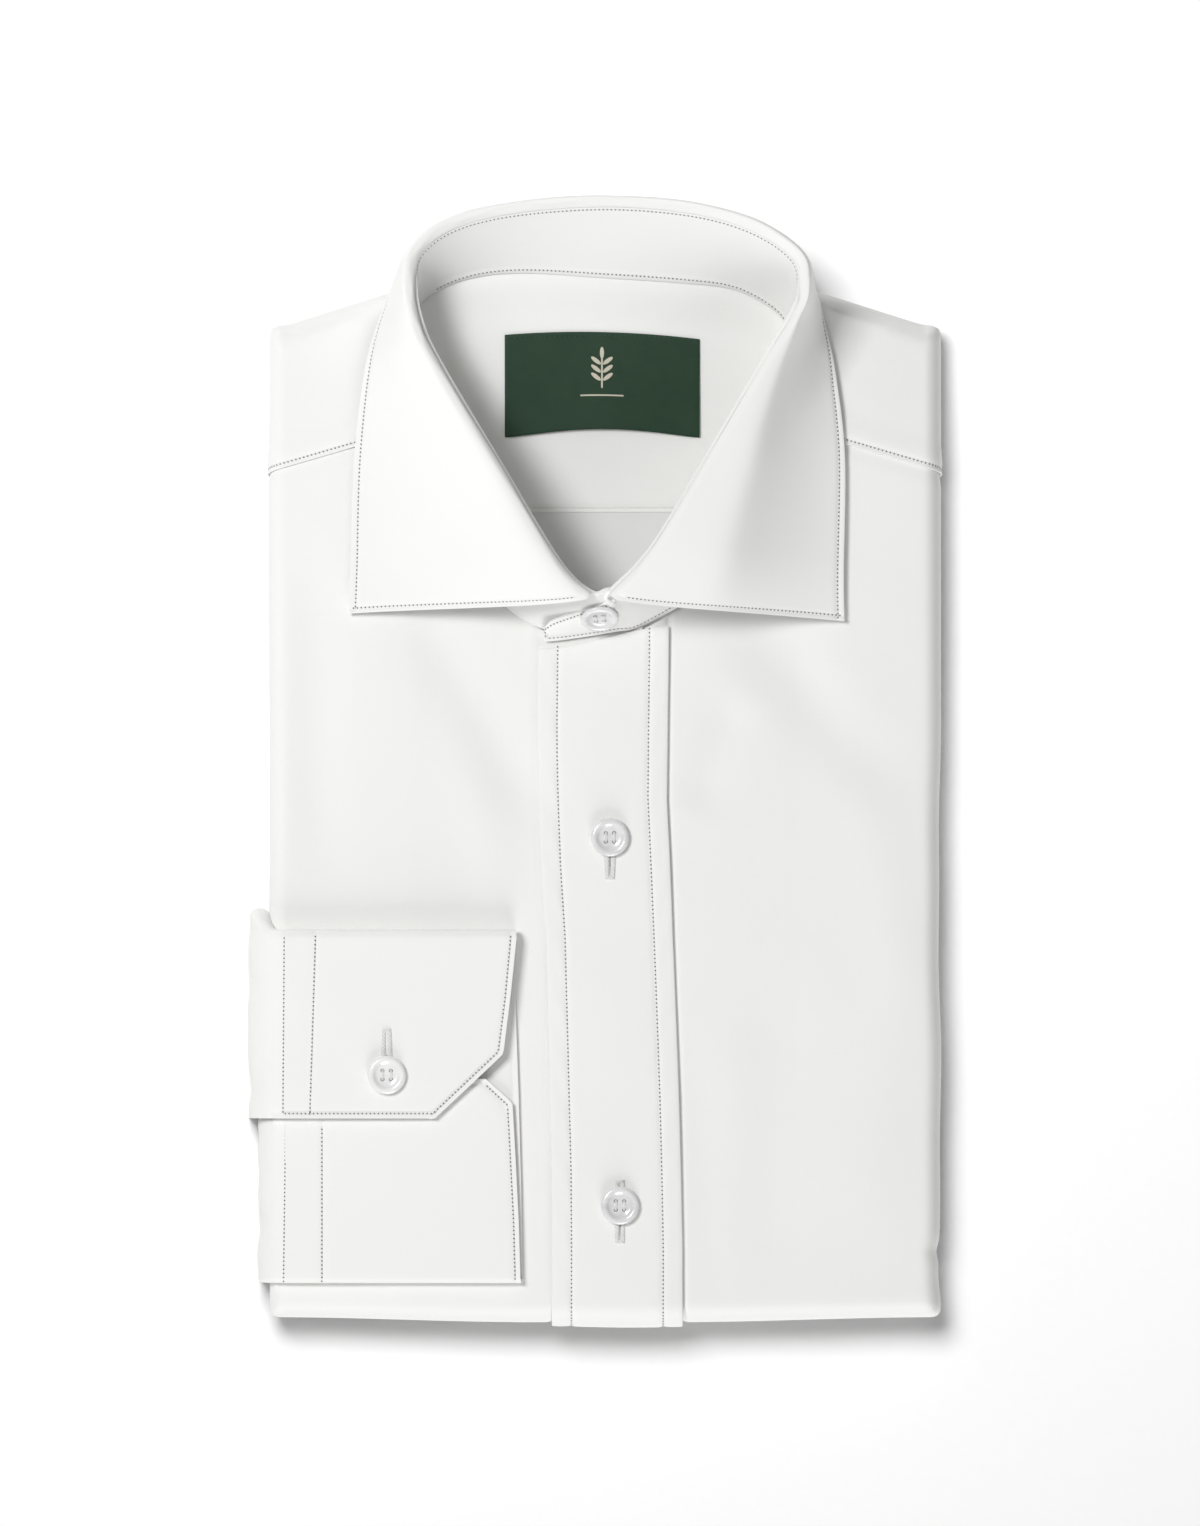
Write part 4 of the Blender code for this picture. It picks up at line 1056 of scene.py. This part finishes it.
def cuff_top(x, y):
    """The cuff's upper layer."""
    lift = np.interp(y, [row[0] for row in CUFF_OVER] + [-57.6, -55.8],
                     [row[1] for row in CUFF_OVER] + [5.8, 5.0])
    return cuff_layer(x, y, lift)


def cuff_low(x, y):
    """The layer below it."""
    return cuff_layer(x, y, np.interp(y, (-168, -166.4, -148, -102.6), (2.9, 3.5, 3.55, 3.4)))


cuff_lines = [
    (cuff_top, [(-102.9, -113.7), (-55.1, -113.7), (-34.2, -94.0), (-31.9, -76), (-30.2, -57.2)]),
    (cuff_top, [(-92.6, -55.9), (-94.4, -113.2)]),
    (cuff_top, [(-102.4, -56.4), (-102.6, -113.2)]),
    (cuff_low, [(-31.2, -111.2), (-30.3, -128), (-29.3, -148), (-28.8, -166.6)]),
    (cuff_low, [(-90.6, -117.5), (-90.6, -167.4)]),
    (cuff_low, [(-102.2, -117.0), (-102.6, -167.4)]),
    (cuff_low, [(-38.6, -104.2), (-31.4, -110.9)])]
cuff_stitches = sew("cuff_stitches", cuff_lines)


# ---------------------------------------------------------------- sleeve
# The end of the wearer's right sleeve: one ply of shirting, pleated into the cuff, that
# rolls over the side and goes down beside the body to lie folded under it.

SLEEVE_START = CUFF_SEAM - 0.8
TURNED = SIDE_FLAT + QUARTER_ROLL


def sleeve_point(out, run):
    """The sleeve's outer face, round the same section as the cuff."""
    y, lift, _ = cuff_row(run)
    share = ease((out - SLEEVE_START) / (TURNED - SLEEVE_START))
    full = ease((y + 105) / 48) * 6.8 * share
    upper = ease((64 - run) / 6)
    pleat = share * (0.55 * np.sin((y + out * 0.3) / 2.9 + 0.7) * np.sin(y / 13 + 0.4)
                     + 0.35 * np.sin((y - out * 0.5) / 6.1))
    down = ease((out - TURNED) / 10)
    tuck = -1.6 * share * np.exp(-(((y + 112.5) / 2.0) ** 2)) * (run > 8)
    relief = pleat * (1 - 0.35 * down) + tuck + 0.9 * share * upper - 0.5 * (1 - share)
    return over_front(out, y + full, lift + relief - 0.3)


bottom = TURNED + float(body_height(-SIDE_FLAT, -110)) - EDGE_DROP - 0.9
outs = np.concatenate([np.linspace(SLEEVE_START, TURNED, 16)[:-1], np.linspace(TURNED, bottom, 12)])
run, out = np.meshgrid(np.unique(np.concatenate([runs, np.linspace(0, WRAP_RUN[-1], 180)])),
                       outs[::-1], indexing="ij")
sleeve = lay_cloth("sleeve_end", sleeve_point(out, run), PLY, shirting)
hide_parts("sleeve")


# ---------------------------------------------------------------- buttons
# Four-hole shirt buttons, turned from pearly plastic: a rounded rim, a dished middle and a
# flat back. Each is sewn on with white thread, two bars through its four holes.


def shell(name, tint, clear):
    """Pearly button plastic: cloudy, with faint growth rings and a polished surface."""
    look, place, shader = new_look(name, 0.16)
    place = place.node("ShaderNodeTexCoord", None, None, 3)
    cloud = place.noise((260, 260, 400), 3.0)
    veil = place.noise((90, 700, 200), 2.0)
    pearl = (cloud * 0.6 + veil * 0.5).smooth(0.3, 0.8)
    colour = pearl.tint(deeper(tint, clear), tint)
    feed(look, shader, colour, (cloud + veil).bump(0.12, 0.00003), veil * 0.14 + 0.18, 0.6)
    shader.inputs["Coat Weight"].default_value = 0.5
    shader.inputs["Coat Roughness"].default_value = 0.06
    return look


HOLE_PLACE = 1.35
BUTTON_PROFILE = ((3.2, -0.62), (5.2, -0.6), (5.85, -0.25), (6.15, 0.15), (6.1, 0.55), (5.75, 0.95),
                  (5.2, 1.16), (4.6, 1.12), (4.1, 0.82), (3.75, 0.42), (3.3, 0.22), (2.4, 0.14),
                  (1.2, 0.12))


def turn_button(name):
    """A button at the origin, turned by drawing one ring up through its profile."""
    start_afresh()
    radius, z = BUTTON_PROFILE[0]
    bpy.ops.mesh.primitive_circle_add(vertices=64, radius=radius * 0.001, fill_type="NGON",
                                      location=(0, 0, z * 0.001))
    button = bpy.context.object
    bpy.ops.object.transform_apply(location=True, rotation=True, scale=True)
    bpy.ops.object.mode_set(mode="EDIT")
    bpy.ops.mesh.select_all(action="SELECT")
    for wide, high in BUTTON_PROFILE[1:]:
        rise = (high - z) * 0.001
        bpy.ops.mesh.extrude_region_move(TRANSFORM_OT_translate={"value": (0, 0, rise)})
        bpy.ops.transform.resize(value=(wide / radius, wide / radius, 1))
        radius, z = wide, high
    bpy.ops.mesh.select_all(action="SELECT")
    bpy.ops.mesh.normals_make_consistent(inside=False)
    bpy.ops.object.mode_set(mode="OBJECT")
    start_afresh()
    drills = []
    for x, y in ((-1, -1), (1, -1), (1, 1), (-1, 1)):
        at = (x * HOLE_PLACE * 0.001, y * HOLE_PLACE * 0.001, 0)
        bpy.ops.mesh.primitive_cylinder_add(vertices=20, radius=0.00064, depth=0.005, location=at)
        drills.append(bpy.context.object)
    for drill in drills:
        drill.select_set(True)
    bpy.ops.object.join()
    drill = bpy.context.object
    bored = button.modifiers.new("Holes", "BOOLEAN")
    bored.operation, bored.object = "DIFFERENCE", drill
    soft = button.modifiers.new("Soft edges", "BEVEL")
    soft.width, soft.segments, soft.limit_method = 0.00012, 2, "ANGLE"
    soft.angle_limit = math.radians(55)
    apply_all(button)
    bpy.data.objects.remove(drill)
    button.name = button.data.name = name
    return button


def sit_on(surface, a, b, lift):
    """Where a button sits on a surface: its centre and its three directions."""
    reach = 0.5
    up = outward(surface, a, b, reach)
    across = unit(surface(a + reach, b) - surface(a - reach, b))
    return surface(a, b) + up * lift, across, np.cross(up, across), up


def tab_place(a, b):
    """The tab in millimetres: across the shirt, and up the slope of the band."""
    place = 3 + (np.asarray(a, float) + 9.3) / 12.3
    return band_face(place, b / band_height(place))


def set_in_place(piece, spot):
    """Puts a finished shape, drawn at the origin in metres, at its spot on the shirt."""
    centre, across, along, up = spot
    points = np.empty(len(piece.data.vertices) * 3)
    piece.data.vertices.foreach_get("co", points)
    points = points.reshape(-1, 3)
    moved = centre * 0.001 + points @ np.array([across, along, up])
    piece.data.vertices.foreach_set("co", moved.reshape(-1))
    piece.data.update()


clear_shell = shell("clear_shell", (0.78, 0.78, 0.785), 0.82)
white_shell = shell("white_shell", (0.84, 0.84, 0.835), 0.93)


def strip_place(x, y):
    """The placket by its place on the shirt."""
    left, right = placket_sides(y)
    return placket_point((x - left) / (right - left), y)


model_button = turn_button("shirt_button")
spots = {"neck_button": (tab_place, -1.5, 10.4), "front_button_1": (strip_place, 1.6, -25.4),
         "front_button_2": (strip_place, 4.8, -143.2), "cuff_button": (cuff_top, -69.8, -101.4)}
for node, (surface, a, b) in spots.items():
    button = model_button.copy()
    button.data = model_button.data.copy()
    button.name = button.data.name = node + "_turned"
    bpy.context.collection.objects.link(button)
    spot = sit_on(surface, a, b, 0.45 if node == "neck_button" else 1.0)
    set_in_place(button, spot)
    finish_cloth(button, white_shell if node == "cuff_button" else clear_shell, 40)
    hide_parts(node)
    centre, across, along, up = spot
    bars = []
    for side in (-1, 1):
        for strand in (-0.28, 0.0, 0.28):
            out = side * HOLE_PLACE + strand
            bars.append(centre + across * out + up * (0.3 - abs(strand) * 0.3))
    bars = np.array(bars)
    ways = [np.broadcast_to(way, bars.shape) for way in (along, -across, up)]
    holes = np.array([centre + across * x + along * y - up * 0.35
                      for x in (-HOLE_PLACE, HOLE_PLACE) for y in (-HOLE_PLACE, HOLE_PLACE)])
    knots = [np.broadcast_to(way, holes.shape) for way in (along, -across, up)]
    thread_piece(node + "_thread", [
        (copy_along(stitch_points, stitch_faces, bars, *ways, (3.5, 0.34, 0.5)), 0),
        (copy_along(stitch_points, stitch_faces, holes, *knots, (1.1, 1.1, 1.2)), 0)],
        (white_thread,))
bpy.data.objects.remove(model_button)


# ---------------------------------------------------------------- buttonholes
# A slit edged on both sides with close satin stitches and barred at its ends. On the
# placket they run down from each button, and on the cuff up from it.


def work_buttonhole(name, surface, x, low, high, wide_low, wide_high):
    """One buttonhole along the shirt, with its two bars, and a dark strip of painted shade for its
    slit.
    """
    rise = np.arange(low + 0.4, high - 0.3, 0.36)
    half = mix(wide_low, wide_high, (rise - low) / (high - low)) / 2
    batches = []
    for side in (-1, 1):
        middle = x + side * (half * 0.5 + 0.12)
        centre = surface(middle, rise)
        across = unit(surface(middle + 0.4, rise) - surface(middle - 0.4, rise))
        up = unit(np.cross(across, surface(middle, rise + 0.4) - surface(middle, rise - 0.4)))
        along = np.cross(up, across)
        for number in range(len(rise)):
            size = (half[number] - 0.1, 0.44, 0.62)
            spot, *ways = [value[number:number + 1] for value in (centre, across, along, up)]
            spot = spot + ways[2] * 0.1
            batches.append((copy_along(stitch_points, stitch_faces, spot, *ways, size), 0))
    for end, width in ((low, wide_low), (high, wide_high)):
        for step in (-0.3, 0.0, 0.3):
            spot = sit_on(surface, x, end + step, 0.14)
            part = [value[None] for value in spot]
            batches.append((copy_along(stitch_points, stitch_faces, *part, (width, 0.42, 0.66)), 0))
    # The slit is a dark strip laid on the cloth: painted shade in the cut.
    centre, across, along, up = sit_on(surface, x, (low + high) / 2, 0.06)
    batches.append((copy_along(shade_disc_points, shade_disc_faces, centre[None], along[None], -across[None],
                               up[None], (high - low - 0.6, 0.34, 1)), 1))
    thread_piece(name, batches, (white_thread, needle_hole_shade))


work_buttonhole("buttonhole_1", strip_place, 1.6, -38.4, -24.0, 3.2, 4.6)
work_buttonhole("buttonhole_2", strip_place, 4.8, -154.8, -135.4, 3.2, 3.2)
work_buttonhole("buttonhole_cuff", cuff_top, -69.8, -102.6, -87.0, 4.6, 3.0)


# ---------------------------------------------------------------- table, light and camera
# A plain white table in an even white room, seen from straight above. Two lamps light only
# the shirt: a soft one high at the upper left, and a low fill beyond the hem. A third, also
# high at the upper left, lights only the table, where the shirt shades it.

start_afresh()
bpy.ops.mesh.primitive_plane_add(size=6, location=(0, 0, -0.0002))
table = bpy.context.object
table.name = table.data.name = "table_top"
bpy.ops.object.transform_apply(location=True, rotation=True, scale=True)
look, place, shader = new_look("white_laminate", 0.7)
place = place.node("ShaderNodeTexCoord", None, None, 3)
grain = place.noise((300, 300, 300))
look.node_tree.links.new(grain.tint((0.93, 0.93, 0.93), (0.95, 0.95, 0.95)).socket,
                         shader.inputs["Base Color"])
shader.inputs["Specular IOR Level"].default_value = 0.1
table.data.materials.append(look)

room = bpy.data.worlds.new("white_room")
room.use_nodes = True
room.node_tree.nodes["Background"].inputs["Color"].default_value = (1, 1, 1, 1)
room.node_tree.nodes["Background"].inputs["Strength"].default_value = 0.30
bpy.context.scene.world = room

lit_table = bpy.data.collections.new("table_light")
lit_shirt = bpy.data.collections.new("shirt_light")
for group, state in ((lit_table, "INCLUDE"), (lit_shirt, "EXCLUDE")):
    group.objects.link(table)
    group.collection_objects[0].light_linking.link_state = state
LAMPS = (  # name, place, width, power and what it lights
    ("soft_lamp", (-0.70, 0.44, 1.34), 0.5, 17.0, lit_shirt),
    ("low_fill", (0.2, -1.7, 0.56), 0.9, 17.0, lit_shirt),
    ("table_lamp", (-0.34, 0.56, 1.40), 0.75, 25.0, lit_table))
for name, spot, size, power, lit in LAMPS:
    bpy.ops.object.light_add(type="AREA", location=spot)
    lamp = bpy.context.object
    lamp.name = name
    lamp.data.shape = "SQUARE"
    lamp.data.size, lamp.data.energy = size, power
    lamp.light_linking.receiver_collection = lit
    away = np.array(spot)
    lamp.rotation_euler = (0, math.acos(away[2] / np.linalg.norm(away)),
                           math.atan2(away[1], away[0]))

bpy.ops.object.camera_add(location=(-0.0016, -0.0016, 10.872), rotation=(0, 0, 0))
camera = bpy.context.object
camera.data.lens = 800
camera.data.sensor_width = 36
camera.data.clip_start, camera.data.clip_end = 0.5, 30
bpy.context.scene.camera = camera
bpy.context.scene.view_settings.view_transform = "Standard"
